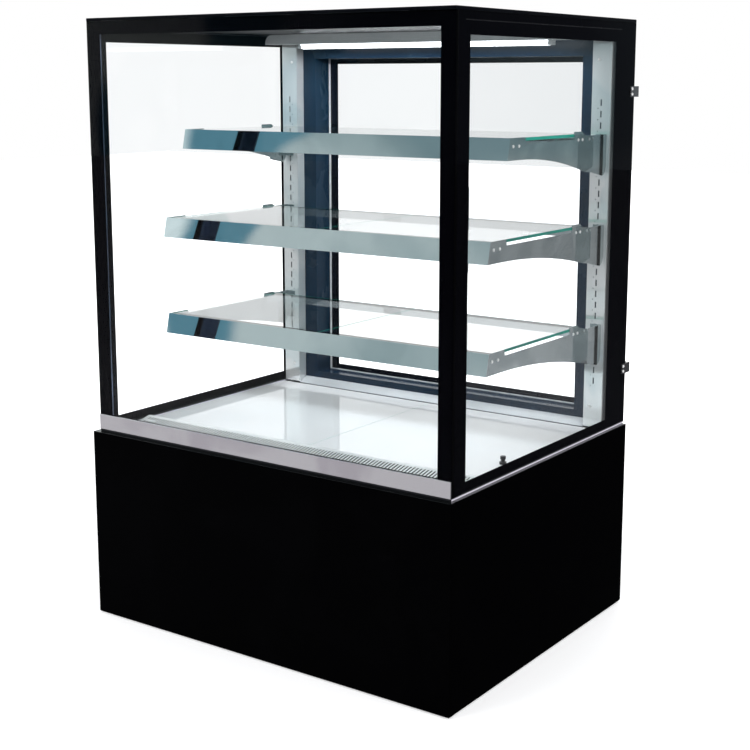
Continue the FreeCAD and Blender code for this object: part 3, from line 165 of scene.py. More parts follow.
# ---- nodes, and the shader effects that several finishes share ----
def add_node(tree, kind, inputs=None, **settings):
    """A node with its settings. Each input gets a plain value, or another node's output to follow."""
    node = tree.nodes.new(kind)
    for label, value in settings.items():
        setattr(node, label, value)
    for label, value in (inputs or {}).items():
        if isinstance(value, bpy.types.NodeSocket):
            tree.links.new(value, node.inputs[label])
        else:
            node.inputs[label].default_value = value
    return node


def calculate(tree, operation, *values, **settings):
    """The result of a sum on plain values or other nodes' outputs."""
    node = add_node(tree, "ShaderNodeMath", dict(enumerate(values)), operation=operation, **settings)
    return node.outputs[0]


def rise(tree, value, start, end, **settings):
    """Goes from 0 to 1 while a value goes from start to end."""
    inputs = {"Value": value, "From Min": start, "From Max": end}
    return add_node(tree, "ShaderNodeMapRange", inputs, **settings).outputs["Result"]


def blend(tree, mask, first, second):
    """The first colour, turned into the second where the mask is high."""
    inputs = {"Factor": mask, "A": first, "B": second}
    return add_node(tree, "ShaderNodeMix", inputs, data_type="RGBA").outputs["Result"]


def new_effect(name, output, **sizes):
    """An empty shader node group that works on a position, with named inputs for its sizes."""
    group = bpy.data.node_groups.new(name, "ShaderNodeTree")
    group.interface.new_socket(name="Position", in_out="INPUT", socket_type="NodeSocketVector")
    for label, value in sizes.items():
        kind = "NodeSocketVector" if isinstance(value, tuple) else "NodeSocketFloat"
        group.interface.new_socket(name=label, in_out="INPUT", socket_type=kind).default_value = value
    group.interface.new_socket(name=output, in_out="OUTPUT", socket_type="NodeSocketFloat")
    return group, group.nodes.new("NodeGroupInput").outputs


def brushed_effect():
    """Fine lines drawn out along one direction, as a belt leaves them on sheet metal."""
    group, given = new_effect("Brushed lines", "Lines", Stretch=(40.0, 40.0, 4000.0), Seed=0.0)
    drawn_out = add_node(group, "ShaderNodeVectorMath", {0: given["Position"], 1: given["Stretch"]},
                         operation="MULTIPLY")
    noise = add_node(group, "ShaderNodeTexNoise", {
        "Vector": drawn_out.outputs["Vector"], "W": given["Seed"], "Scale": 1.0, "Detail": 4.0,
        "Roughness": 0.65}, noise_dimensions="4D")
    add_node(group, "NodeGroupOutput", {"Lines": noise.outputs["Fac"]})
    return group


def smudge_effect():
    """Broad soft marks, as wiping and handling leave them."""
    group, given = new_effect("Wiping marks", "Mask", Size=9.0, Low=0.42, High=0.72)
    noise = add_node(group, "ShaderNodeTexNoise", {
        "Vector": given["Position"], "Scale": given["Size"], "Detail": 5.0, "Roughness": 0.55,
        "Distortion": 0.9})
    soft = rise(group, noise.outputs["Fac"], given["Low"], given["High"], interpolation_type="SMOOTHSTEP")
    add_node(group, "NodeGroupOutput", {"Mask": soft})
    return group


def grain_effect():
    """The small grain of sprayed paint or moulded plastic."""
    group, given = new_effect("Fine grain", "Height", Scale=900.0)
    noise = add_node(group, "ShaderNodeTexNoise", {
        "Vector": given["Position"], "Scale": given["Scale"], "Detail": 2.0})
    add_node(group, "NodeGroupOutput", {"Height": noise.outputs["Fac"]})
    return group


def spangle_effect():
    """The crystal flakes of hot-dip zinc."""
    group, given = new_effect("Zinc spangle", "Flakes", Scale=110.0)
    cells = add_node(group, "ShaderNodeTexVoronoi", {
        "Vector": given["Position"], "Scale": given["Scale"], "Randomness": 1.0})
    tone = add_node(group, "ShaderNodeSeparateColor", {"Color": cells.outputs["Color"]})
    add_node(group, "NodeGroupOutput", {"Flakes": tone.outputs["Red"]})
    return group


BRUSHED = brushed_effect()
SMUDGES = smudge_effect()
GRAIN = grain_effect()
SPANGLE = spangle_effect()


# ---- finishes ----
class Finish:
    """One material under construction, with its shader and the piece's own coordinates."""

    def __init__(self, name, color, metallic=0.0, roughness=0.5, specular=0.5):
        self.name = name
        self.material = bpy.data.materials.new(name)
        self.material.use_nodes = True
        self.tree = self.material.node_tree
        self.shader = next(node for node in self.tree.nodes if node.type == "BSDF_PRINCIPLED")
        self.output = next(node for node in self.tree.nodes if node.type == "OUTPUT_MATERIAL")
        self.coordinates = self.add("ShaderNodeTexCoord").outputs
        self.set("Base Color", (*color, 1.0))
        self.set("Metallic", metallic)
        self.set("Roughness", roughness)
        self.set("Specular IOR Level", specular)

    def add(self, kind, inputs=None, **settings):
        return add_node(self.tree, kind, inputs, **settings)

    def set(self, socket, value):
        self.shader.inputs[socket].default_value = value

    def follow(self, socket, source):
        self.tree.links.new(source, self.shader.inputs[socket])

    def show(self, shader):
        """Puts a shader, instead of the finish's plain one, on the surface."""
        self.tree.links.new(shader.outputs[0], self.output.inputs["Surface"])

    def effect(self, group, **sizes):
        """One of the shared effects at this finish's own sizes."""
        inputs = {"Position": self.coordinates["Object"], **sizes}
        return self.add("ShaderNodeGroup", inputs, node_tree=group).outputs[0]

    def blend_colors(self, mask, second):
        """Turns the base colour towards a second one where the mask is high."""
        base = self.shader.inputs["Base Color"]
        first = base.links[0].from_socket if base.is_linked else tuple(base.default_value)
        self.follow("Base Color", blend(self.tree, mask, first, (*second, 1.0)))

    def spread_roughness(self, mask, low, high):
        spread = self.add("ShaderNodeMapRange", {"Value": mask, "To Min": low, "To Max": high})
        self.follow("Roughness", spread.outputs["Result"])

    def bump(self, height, distance, strength=0.4):
        bump = self.add("ShaderNodeBump", {"Height": height, "Distance": distance, "Strength": strength})
        self.follow("Normal", bump.outputs["Normal"])

    def facing(self, axis, low=0.6, high=0.9):
        """A mask that is 1 where the piece's surface faces along one of its axes, either way."""
        parts = self.add("ShaderNodeSeparateXYZ", {"Vector": self.coordinates["Normal"]})
        return rise(self.tree, calculate(self.tree, "ABSOLUTE", parts.outputs[axis]), low, high)


# Stretch vectors draw lines out along the axis that has the small number.
ALONG_X = (12.0, 3500.0, 3500.0)
ALONG_Y = (3500.0, 12.0, 3500.0)
ALONG_Z = (3500.0, 3500.0, 12.0)


def brushed_metal(name, color, roughness, stretch, second=None, marks=(7.0, 0.4, 0.75), depth=2e-5,
                  metallic=1.0):
    """Sheet metal with belt lines along one direction and soft wiping marks."""
    finish = Finish(name, color, metallic, roughness)
    lines = finish.effect(BRUSHED, Stretch=stretch)
    size, low, high = marks
    wiped = finish.effect(SMUDGES, Size=size, Low=low, High=high)
    finish.blend_colors(wiped, second or tuple(part * 0.86 for part in color))
    finish.spread_roughness(lines, roughness * 0.7, roughness * 1.35)
    finish.bump(lines, depth, 0.25)
    return finish


def grille_steel():
    """Bright grille strip. Its faces that face along X, the walls of its slots among them, are coloured near
    black as painted shade.
    """
    finish = Finish("grille_steel", (0.95, 0.97, 0.975), 0.3, 0.3)
    lines = finish.effect(BRUSHED, Stretch=ALONG_X)
    finish.spread_roughness(lines, 0.22, 0.42)
    finish.blend_colors(finish.effect(SMUDGES, Size=7.0), (0.86, 0.90, 0.91))
    # Painted shade: every face that faces along X, the slot walls among them, is coloured near black.
    finish.blend_colors(finish.facing("X", 0.4, 0.7), (0.02, 0.025, 0.03))
    finish.bump(lines, 2e-5, 0.25)
    return finish


def ledge_steel():
    """The bottom frame: black paint on its front, and a painted highlight on its sides, which are coloured
    bright lilac and show as thin bright lines above the base.
    """
    finish = Finish("ledge_steel", (0.012, 0.012, 0.015), 0.15, 0.35)
    lines = finish.effect(BRUSHED, Stretch=ALONG_Y)
    # Painted highlight: the sides that face along X are coloured bright lilac.
    finish.blend_colors(finish.facing("X"), (0.90, 0.86, 0.97))
    finish.spread_roughness(lines, 0.25, 0.47)
    finish.bump(lines, 2e-5, 0.25)
    return finish


def sprayed_paint(name, color, roughness, specular, second=None, peel=2.5e-6):
    """Powder coat: a fine peel, and faint wiping marks."""
    finish = Finish(name, color, 0.0, roughness, specular)
    wiped = finish.effect(SMUDGES, Size=5.0)
    finish.blend_colors(wiped, second or tuple(part * 1.35 for part in color))
    finish.spread_roughness(wiped, roughness * 0.85, roughness * 1.2)
    finish.bump(finish.effect(GRAIN, Scale=380.0), peel, 0.1)
    return finish


def black_base_paint():
    """Deep black coat. Its narrow top ledges have a glossier skin, which catches the light as a thin line."""
    finish = sprayed_paint("black_base_paint", (0.0004, 0.0004, 0.0006), 0.45, 0.01,
                           (0.0008, 0.0008, 0.0011))
    finish.set("Coat IOR", 1.7)
    finish.set("Coat Roughness", 0.08)
    finish.follow("Coat Weight", finish.facing("Z", 0.8, 0.95))
    return finish


def moulded(name, color, roughness):
    """Moulded plastic or rubber with a small even grain."""
    finish = Finish(name, color, 0.0, roughness, 0.4)
    worn = tuple(min(1.0, part * 0.85 + 0.004) for part in color)
    finish.blend_colors(finish.effect(SMUDGES, Size=14.0), worn)
    grain = finish.effect(GRAIN, Scale=1600.0)
    finish.spread_roughness(grain, roughness * 0.85, roughness * 1.15)
    finish.bump(grain, 4e-5, 0.35)
    return finish


def clear_glass(name, face, edge, edge_axis, sheen, glow=0.0):
    """Float glass, clear through its faces. Its cut edges have their own colour and a painted glow: emission
    in that colour, which stands in for the light they gather.
    """
    finish = Finish(name, edge, 0.0, 0.0)
    finish.set("Transmission Weight", 1.0)
    finish.set("IOR", 1.5)
    finish.set("Specular Tint", (sheen, sheen, sheen, 1.0))
    finish.set("Emission Strength", 1.0)
    faces = finish.facing(edge_axis)
    # Painted glow: the cut edges emit in their own colour, scaled by glow; the faces emit nothing.
    painted_edge_glow = (*(part * glow for part in edge), 1.0)
    finish.follow("Emission Color", blend(finish.tree, faces, painted_edge_glow, (0.0, 0.0, 0.0, 1.0)))
    finish.blend_colors(faces, face)
    wiped = finish.effect(SMUDGES, Size=5.0, Low=0.5, High=0.9)
    finish.blend_colors(wiped, tuple(part * 0.985 for part in face))
    # Shadow rays go straight through, so that the lamps reach what is behind the glass.
    path = finish.add("ShaderNodeLightPath").outputs
    through = finish.add("ShaderNodeBsdfTransparent", {"Color": (0.97, 0.983, 0.985, 1.0)})
    finish.show(finish.add("ShaderNodeMixShader", {
        0: path["Is Shadow Ray"], 1: finish.shader.outputs[0], 2: through.outputs[0]}))
    return finish


def galvanised_sheet():
    finish = Finish("galvanised_sheet", (0.5, 0.53, 0.55), 1.0, 0.42)
    flakes = finish.effect(SPANGLE, Scale=95.0)
    finish.blend_colors(flakes, (0.68, 0.71, 0.73))
    finish.spread_roughness(flakes, 0.32, 0.55)
    return finish


def glowing(name, color, strength, roughness=0.4, glow=None, grain=900.0, depth=2e-5):
    """A lit plastic part, with its own colour and the colour of its light."""
    finish = Finish(name, color, 0.0, roughness)
    finish.set("Emission Color", (*(glow or color), 1.0))
    finish.set("Emission Strength", strength)
    finish.bump(finish.effect(GRAIN, Scale=grain), depth)
    return finish


def deck_surface():
    """Back-painted white deck glass: a bright body under a clear polished skin, aqua at its cut ends."""
    finish = Finish("deck_surface", (0.965, 0.97, 0.985), 0.0, 0.06, 0.6)
    finish.set("IOR", 1.52)
    wiped = finish.effect(SMUDGES, Size=6.0, Low=0.45, High=0.85)
    finish.blend_colors(wiped, (0.92, 0.95, 0.975))
    finish.spread_roughness(wiped, 0.03, 0.09)
    finish.blend_colors(finish.facing("X"), (0.25, 0.55, 0.5))
    return finish


def copper_tube():
    finish = Finish("copper_tube", (0.62, 0.28, 0.16), 1.0, 0.3)
    dull = finish.effect(SMUDGES, Size=25.0)
    finish.blend_colors(dull, (0.30, 0.13, 0.08))
    finish.spread_roughness(dull, 0.22, 0.5)
    return finish


PRINTED_EDGE = (0.0015, 0.0018, 0.003)
GREEN_EDGE = (0.01, 0.19, 0.15)
SEALED_EDGE = (0.97, 0.985, 0.985)

MADE_FINISHES = [
    clear_glass("front_pane", (0.986, 0.994, 0.997), PRINTED_EDGE, "Y", 0.02),
    clear_glass("side_pane", (0.985, 0.993, 0.997), PRINTED_EDGE, "X", 0.02),
    clear_glass("door_pane", (0.985, 0.992, 0.995), SEALED_EDGE, "Y", 0.2),
    # The shelf panes' green edges carry a painted glow.
    clear_glass("shelf_pane", (0.972, 0.991, 0.989), GREEN_EDGE, "Z", 0.7, 0.8),
    sprayed_paint("black_print", (0.0006, 0.0006, 0.0016), 0.2, 0.03, (0.001, 0.001, 0.0022)),
    black_base_paint(),
    sprayed_paint("black_roof_paint", (0.0015, 0.0018, 0.003), 0.3, 0.05),
    sprayed_paint("slate_frame_paint", (0.007, 0.021, 0.043), 0.26, 0.22, (0.012, 0.034, 0.062)),
    sprayed_paint("black_door_paint", (0.004, 0.006, 0.011), 0.3, 0.25),
    brushed_metal("rail_steel", (0.76, 0.84, 0.86), 0.02, ALONG_X, (0.68, 0.76, 0.78), depth=6e-6),
    brushed_metal("bracket_steel", (0.50, 0.56, 0.57), 0.10, ALONG_Y, (0.66, 0.72, 0.72), (9.0, 0.38, 0.68)),
    brushed_metal("standard_steel", (0.97, 0.99, 0.99), 0.05, ALONG_Z, (0.80, 0.88, 0.89), (6.0, 0.46, 0.6),
                  4e-6, 0.55),
    brushed_metal("post_metal", (0.22, 0.26, 0.36), 0.22, ALONG_Z, (0.15, 0.18, 0.26)),
    brushed_metal("trim_steel", (0.66, 0.62, 0.665), 0.10, ALONG_X, (0.80, 0.77, 0.80), (4.0, 0.4, 0.6)),
    grille_steel(),
    brushed_metal("upstand_steel", (0.90, 0.94, 0.975), 0.24, ALONG_X, metallic=0.3),
    ledge_steel(),
    brushed_metal("screw_steel", (0.97, 0.97, 0.97), 0.25, ALONG_Z, metallic=0.2),
    brushed_metal("housing_aluminium", (0.92, 0.95, 0.96), 0.25, ALONG_X, (0.82, 0.88, 0.90), metallic=0.3),
    brushed_metal("hardware_steel", (0.70, 0.69, 0.69), 0.2, ALONG_Z),
    brushed_metal("fin_aluminium", (0.72, 0.75, 0.77), 0.35, ALONG_Z),
    deck_surface(),
    glowing("lit_diffuser", (0.95, 0.97, 1.0), 4.0, 0.35, (0.93, 0.97, 1.0), 700.0, 3e-5),
    moulded("white_seal", (0.80, 0.82, 0.83), 0.55),
    moulded("black_moulding", (0.012, 0.012, 0.014), 0.45),
    moulded("tub_moulding", (0.045, 0.05, 0.055), 0.5),
    moulded("grey_key", (0.33, 0.35, 0.38), 0.5),
    glowing("green_rocker", (0.03, 0.30, 0.10), 0.35),
    glowing("red_digits", (1.0, 0.08, 0.04), 4.0),
    sprayed_paint("panel_grey_paint", (0.16, 0.165, 0.175), 0.45, 0.4),
    sprayed_paint("compressor_enamel", (0.012, 0.012, 0.013), 0.3, 0.5, peel=1.2e-4),
    galvanised_sheet(),
    copper_tube(),
]
FINISHES = {finish.name: finish.material for finish in MADE_FINISHES}

CAD_FINISHES = {
    "front_pane": ["front_glass"],
    "side_pane": ["left_glass", "right_glass"],
    "door_pane": ["left_door_glass", "right_door_glass"],
    "shelf_pane": ["top_shelf_glass", "middle_shelf_glass", "bottom_shelf_glass"],
    "black_print": ["front_glass_border", "side_glass_borders"],
    "black_base_paint": ["base_front_panel", "base_left_panel", "base_right_panel"],
    "black_roof_paint": ["roof_panel"],
    "ledge_steel": ["case_bottom_frame"],
    "slate_frame_paint": ["rear_frame"],
    "black_door_paint": ["left_door_frame", "right_door_frame", "rear_service_grille"],
    "rail_steel": ["top_shelf_rails", "middle_shelf_rails", "bottom_shelf_rails"],
    "bracket_steel": ["top_shelf_brackets", "middle_shelf_brackets", "bottom_shelf_brackets"],
    "standard_steel": ["shelf_standards"],
    "post_metal": ["corner_posts"],
    "trim_steel": ["front_trim_strip"],
    "grille_steel": ["front_air_grille"],
    "upstand_steel": ["rear_air_upstand"],
    "housing_aluminium": ["light_housing"],
    "hardware_steel": ["hinge_brackets", "left_door_handle", "right_door_handle"],
    "screw_steel": ["pan_head_screws"],
    "fin_aluminium": ["evaporator_coil", "condenser_coil"],
    "deck_surface": ["deck_panels"],
    "lit_diffuser": ["light_tube"],
    "white_seal": ["left_door_gasket", "right_door_gasket"],
    "black_moulding": ["temperature_probe", "temperature_controller", "power_inlet", "levelling_feet",
                       "evaporator_fan", "condenser_fan"],
    "tub_moulding": ["evaporator_tub"],
    "grey_key": ["set_key", "up_key", "down_key"],
    "green_rocker": ["power_switch", "light_switch"],
    "panel_grey_paint": ["control_panel"],
    "compressor_enamel": ["compressor"],
    "galvanised_sheet": ["base_frame", "base_pan", "fan_shroud", "evaporator_fan_plate"],
    "copper_tube": ["refrigerant_lines"],
}

# Sheet and bar parts whose sharp edges get a small rounding, in millimetres.
ROUNDED_EDGES = {
    "base_front_panel": 0.8, "base_left_panel": 0.8, "base_right_panel": 0.8, "case_bottom_frame": 0.6,
    "light_housing": 0.5, "rear_air_upstand": 0.3, "hinge_brackets": 0.35, "control_panel": 0.5,
}


def dress_cad_nodes():
    for finish, names in CAD_FINISHES.items():
        for name in names:
            for slot in NODES[name].material_slots:
                slot.material = FINISHES[finish]
    for name, width in ROUNDED_EDGES.items():
        weld = NODES[name].modifiers.new("Weld", "WELD")
        weld.merge_threshold = 1e-6
        bevel = NODES[name].modifiers.new("Rounded edges", "BEVEL")
        bevel.width = width * MM
        bevel.segments = 2
        bevel.limit_method = "ANGLE"
        bevel.angle_limit = math.radians(40)
        bevel.harden_normals = True


# ---- geometry node tools ----
class Tree:
    """A geometry node tree with named inputs, used once on a carrier mesh and then made plain."""

    def __init__(self, name, **sizes):
        self.group = bpy.data.node_groups.new(name, "GeometryNodeTree")
        self.sizes = {}
        self.new_socket("Geometry", "INPUT", "Geometry")
        for label, value in sizes.items():
            socket = self.new_socket(label, "INPUT", "Int" if isinstance(value, int) else "Float")
            self.sizes[socket.identifier] = value
        self.new_socket("Geometry", "OUTPUT", "Geometry")
        self.given = self.add("NodeGroupInput").outputs

    def new_socket(self, label, way, kind):
        return self.group.interface.new_socket(name=label, in_out=way, socket_type="NodeSocket" + kind)

    def add(self, kind, inputs=None, **settings):
        return add_node(self.group, kind, inputs, **settings)

    def copies(self, points, source, **more):
        """Copies of a shape, one on each point."""
        inputs = {"Points": points, "Instance": source, **more}
        return self.add("GeometryNodeInstanceOnPoints", inputs).outputs["Instances"]

    def template(self, name, mesh):
        """A hidden object that the tree copies."""
        made = bpy.data.objects.new(name, mesh)
        bpy.context.scene.collection.objects.link(made)
        made.hide_render = True
        made.hide_viewport = True
        return self.add("GeometryNodeObjectInfo", {"Object": made}).outputs["Geometry"]

    def mesh(self, name, geometry, finish, carrier=None):
        """Ends the tree, runs it on a carrier mesh and returns the plain mesh that comes out."""
        realize = self.add("GeometryNodeRealizeInstances", {"Geometry": geometry})
        paint = self.add("GeometryNodeSetMaterial", {
            "Geometry": realize.outputs["Geometry"], "Material": FINISHES[finish]})
        self.add("NodeGroupOutput", {"Geometry": paint.outputs["Geometry"]})
        carrier = carrier or bpy.data.meshes.new(name + "_carrier")
        holder = bpy.data.objects.new(name + "_holder", carrier)
        bpy.context.scene.collection.objects.link(holder)
        modifier = holder.modifiers.new("Tree", "NODES")
        modifier.node_group = self.group
        for identifier, value in self.sizes.items():
            modifier[identifier] = value
        evaluated = holder.evaluated_get(bpy.context.evaluated_depsgraph_get())
        result = bpy.data.meshes.new_from_object(evaluated)
        result.name = name
        bpy.data.objects.remove(holder)
        return result


def islands(node):
    """The separate solids of a CAD node, each as a list of points."""
    copy = bmesh.new()
    copy.from_mesh(NODES[node].data)
    bmesh.ops.remove_doubles(copy, verts=copy.verts, dist=1e-6)
    seen, found = set(), []
    for start in copy.verts:
        if start in seen:
            continue
        stack, group = [start], []
        seen.add(start)
        while stack:
            vert = stack.pop()
            group.append(vert.co.copy())
            for edge in vert.link_edges:
                other = edge.other_vert(vert)
                if other not in seen:
                    seen.add(other)
                    stack.append(other)
        found.append(group)
    copy.free()
    return found


# ---- pan-head screws ----
def screw_shape():
    """A screw with a domed head, a cross recess and a plain shank; its head points along +Z."""
    radius, rim, dome = 3.2 * MM, 0.5 * MM, 2.0 * MM
    shank, shank_end = 1.5 * MM, -1.9 * MM
    arm, slot = 2.0 * MM, 0.32 * MM
    profile = [(0.0, shank_end), (shank, shank_end), (shank, 0.0), (radius, 0.0), (radius, rim)]
    for angle in (20, 40, 58, 72):
        across, along = round_point(angle)
        profile.append((radius * across, rim + (dome - rim) * along))
    profile.append((0.0, dome))
    shape = bmesh.new()
    add_lathe(shape, profile, (0, 0, 0), steps=28)
    for x, y in ((slot, arm), (arm, slot)):
        add_block(shape, (-x, -y, dome - 0.9 * MM), (x, y, dome + 0.02 * MM))
    return from_bmesh(shape, "screw_shape")


def screw_seat(points):
    """Where the head of one CAD screw sits, and the way it faces."""
    low = Vector(min(point[axis] for point in points) for axis in range(3))
    high = Vector(max(point[axis] for point in points) for axis in range(3))
    size = high - low
    centre = (low + high) / 2
    axis = min(range(3), key=lambda along: abs(size[(along + 1) % 3] - size[(along + 2) % 3]))
    first, second = (axis + 1) % 3, (axis + 2) % 3
    rim = max(size[first], size[second]) / 2
    head = [point[axis] for point in points
            if math.hypot(point[first] - centre[first], point[second] - centre[second]) > rim * 0.9]
    facing = Vector((0, 0, 0))
    facing[axis] = 1.0 if sum(head) / len(head) > centre[axis] else -1.0
    centre[axis] = min(head) if facing[axis] > 0 else max(head)
    return centre, facing


def screw_heads():
    """One detailed screw at each of the CAD screws."""
    seats = [screw_seat(points) for points in islands("pan_head_screws")]
    places = bpy.data.meshes.new("screw_places")
    places.from_pydata([seat for seat, _ in seats], [], [])
    attribute = places.attributes.new("facing", "FLOAT_VECTOR", "POINT")
    attribute.data.foreach_set("vector", [value for _, facing in seats for value in facing])
    tree = Tree("Screw set", Scale=1.0)
    direction = tree.add("GeometryNodeInputNamedAttribute", {"Name": "facing"}, data_type="FLOAT_VECTOR")
    aim = tree.add("FunctionNodeAlignRotationToVector", {"Vector": direction.outputs["Attribute"]}, axis="Z")
    screws = tree.copies(tree.given["Geometry"], tree.template("screw_template", screw_shape()),
                         Rotation=aim.outputs["Rotation"], Scale=tree.given["Scale"])
    mesh = tree.mesh("cross_head_screws", screws, "screw_steel", places)
    piece = mesh_object("cross_head_screws", mesh, "screw_steel")
    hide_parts("pan_head_screws")


# ---- coils ----
def fin_pack(name, low, high, spacing):
    """Thin upright fins side by side along X between two corners."""
    middle = (low + high) / 2
    tree = Tree(name + " tree", Count=int((high.x - low.x) / spacing), Spacing=spacing, Thickness=0.25 * MM)
    step = tree.add("ShaderNodeCombineXYZ", {"X": tree.given["Spacing"]})
    line = tree.add("GeometryNodeMeshLine", {
        "Start Location": (low.x, middle.y, middle.z), "Count": tree.given["Count"],
        "Offset": step.outputs["Vector"]})
    size = tree.add("ShaderNodeCombineXYZ", {
        "X": tree.given["Thickness"], "Y": high.y - low.y, "Z": high.z - low.z})
    fin = tree.add("GeometryNodeMeshCube", {"Size": size.outputs["Vector"]})
    return tree.mesh(name, tree.copies(line.outputs["Mesh"], fin.outputs["Mesh"]), "fin_aluminium")


def coil_tubes(low, high, rows, columns, reach):
    """Straight tubes between two end plates, each joined to the next by a return bend past the plate."""
    radius, past_plate, bend_start = 4.5 * MM, 4 * MM, 3.5 * MM
    heights = [low.z + (high.z - low.z) * (row + 0.5) / rows for row in range(rows)]
    gap = (heights[1] - heights[0]) / 2
    bend_reach = reach - bend_start - radius
    shape = bmesh.new()
    for column, y in enumerate(columns):
        for row, z in enumerate(heights):
            add_pipe(shape, [(low.x - past_plate, y, z), (high.x + past_plate, y, z)], radius)
            if row + 1 == rows:
                continue
            outward = 1 if (row + column) % 2 == 0 else -1
            x = (high.x if outward > 0 else low.x) + outward * bend_start
            bend = []
            for angle in range(0, 181, 18):
                across, along = round_point(angle)
                bend.append((x + outward * bend_reach * along, y, z + gap - gap * across))
            add_pipe(shape, bend, radius * 0.98)
    return shape


def coil(node, rows, spacing):
    """A finned coil: fins, end plates, straight tubes and the return bends that join them."""
    low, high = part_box(node)
    stub, plate, fin_gap = 12 * MM, 1.5 * MM, Vector((4 * MM, 0, 0))
    inner_low = Vector((low.x + stub, low.y + 2 * MM, low.z + 6 * MM))
    inner_high = Vector((high.x - stub, high.y - 2 * MM, high.z - 4 * MM))
    fins = fin_pack(node + "_fins", inner_low + fin_gap, inner_high - fin_gap, spacing)
    piece = mesh_object(node + "_fins", fins, "fin_aluminium")
    shape = bmesh.new()
    for x in (inner_low.x, inner_high.x):
        add_block(shape, (x - plate, low.y, low.z), (x + plate, high.y, high.z - 1 * MM), 0.4 * MM)
    shape_object(node + "_end_plates", shape, "galvanised_sheet")
    columns = [low.y + (high.y - low.y) * share for share in (0.25, 0.5, 0.75)]
    shape = coil_tubes(inner_low, inner_high, rows, columns, stub)
    shape_object(node + "_tubes", shape, "copper_tube")
    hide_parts(node)


# ---- fans ----
def add_blade(shape, centre, start, hub, tip, half, pitches, share_of_circle):
    """One swept, twisted blade, thickest along its middle, between the hub and the tip."""
    spans, chords = 8, 8
    root = hub * 0.95
    root_pitch, tip_pitch = pitches
    sheets = {}
    for side in (-1, 1):
        for i in range(spans + 1):
            share = i / spans
            radius = root + (tip - root) * share
            pitch = math.radians(root_pitch + (tip_pitch - root_pitch) * share)
            chord = min((2 * half - 1.6 * MM) / math.sin(pitch), 2 * math.pi * radius * share_of_circle)
            sweep = 0.30 * share * share
            for j in range(chords + 1):
                across = j / chords - 0.5
                camber = 0.07 * chord * (1 - (2 * across) ** 2)
                angle = start + sweep + across * chord * math.cos(pitch) / radius
                thick = 0.8 * MM * (1 - 0.85 * abs(2 * across) ** 3)
                y = across * chord * math.sin(pitch) + camber * 0.5 + side * thick
                place = Vector((radius * math.sin(angle), max(-half, min(half, y)), radius * math.cos(angle)))
                sheets[side, i, j] = shape.verts.new(centre + place)
    for i in range(spans):
        for j in range(chords):
            for side in (-1, 1):
                shape.faces.new([sheets[side, i, j], sheets[side, i + 1, j], sheets[side, i + 1, j + 1],
                                 sheets[side, i, j + 1]])
    rim = [(i, 0) for i in range(spans)] + [(spans, j) for j in range(chords)]
    rim += [(i, chords) for i in range(spans, 0, -1)] + [(0, j) for j in range(chords, 0, -1)]
    for here, following in zip(rim, rim[1:] + rim[:1]):
        shape.faces.new([sheets[-1, *here], sheets[-1, *following], sheets[1, *following], sheets[1, *here]])


def fan_rotor(node, joint, blades, hub_share, pitches):
    """A moulded axial fan: a hub with a domed nose, and its blades."""
    low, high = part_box(node)
    centre = joint_place(joint)
    tip = (high.x - low.x) / 2 - 0.5 * MM
    hub = tip * hub_share
    half = (high.y - low.y) / 2
    bore = 3.2 * MM
    profile = [(bore, half * 0.8), (hub * 0.9, half * 0.8), (hub, half * 0.65), (hub, -half * 0.6),
               (hub * 0.92, -half * 0.82), (hub * 0.6, -half * 0.92), (bore, -half * 0.94),
               (bore, half * 0.8)]
    shape = bmesh.new()
    add_lathe(shape, profile, centre, (0, 1, 0), 48)
    for blade in range(blades):
        add_blade(shape, centre, 2 * math.pi * blade / blades, hub, tip, half, pitches, 0.82 / blades)
    piece = shape_object(node + "_blades", shape, "black_moulding", node, 50)
    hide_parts(node)


def wire_guard(name, joint, radius, y, rings):
    """Round wires one inside the other, held by two straight ones that cross."""
    centre = joint_place(joint)
    seat = Vector((centre.x, y, centre.z))
    tree = Tree("Wire guard " + name, Rings=rings, Step=radius / rings, Wire=1.1 * MM)
    line = tree.add("GeometryNodeMeshLine", {
        "Start Location": tuple(seat), "Offset": (0, 0, 0), "Count": tree.given["Rings"]})
    ring = tree.add("GeometryNodeCurvePrimitiveCircle", {"Resolution": 64, "Radius": 1.0})
    number = calculate(tree.group, "ADD", tree.add("GeometryNodeInputIndex").outputs["Index"], 1.0)
    hoops = tree.copies(line.outputs["Mesh"], ring.outputs["Curve"], Rotation=(math.pi / 2, 0, 0),
                        Scale=calculate(tree.group, "MULTIPLY", number, tree.given["Step"]))
    curves = tree.add("GeometryNodeRealizeInstances", {"Geometry": hoops})
    wire = tree.add("GeometryNodeCurvePrimitiveCircle", {"Resolution": 8, "Radius": tree.given["Wire"]})
    tube = tree.add("GeometryNodeCurveToMesh", {
        "Curve": curves.outputs["Geometry"], "Profile Curve": wire.outputs["Curve"]})
    shape = bmesh.new()
    shape.from_mesh(tree.mesh(name + "_rings", tube.outputs["Mesh"], "hardware_steel"))
    for angle in (45, 135):
        across, along = round_point(angle)
        reach = Vector((across, 0, along)) * (radius + 5 * MM)
        add_pipe(shape, [seat - reach, seat + reach], 1.3 * MM, 8)
    shape_object(name, shape, "hardware_steel", smooth_angle=60)


# ---- rear service grille: pressed louvre hoods ----
def hood_shape(width, height, reach):
    """One pressed hood: a quarter-round lip that stands out above its slot and closes at both ends."""
    steps, sheet = 8, 0.8 * MM
    shape = bmesh.new()
    rows = []
    for side in (0, 1):
        wall = sheet * side
        for step in range(steps + 1):
            across, along = round_point(90 * step / steps)
            y = (reach - wall) * along
            z = height - (height - wall) * (1 - across)
            rows.append([shape.verts.new((x, y, z)) for x in (-width / 2 + wall, width / 2 - wall)])
    outer, inner = rows[:steps + 1], rows[steps + 1:]
    for skin in (outer, inner):
        for here, following in zip(skin, skin[1:]):
            shape.faces.new((here[0], here[1], following[1], following[0]))
    for end in (0, 1):
        for step in range(steps):
            shape.faces.new((outer[step][end], outer[step + 1][end], inner[step + 1][end], inner[step][end]))
    for step in (0, steps):
        shape.faces.new((outer[step][0], outer[step][1], inner[step][1], inner[step][0]))
    return from_bmesh(shape, "hood_shape", 50)


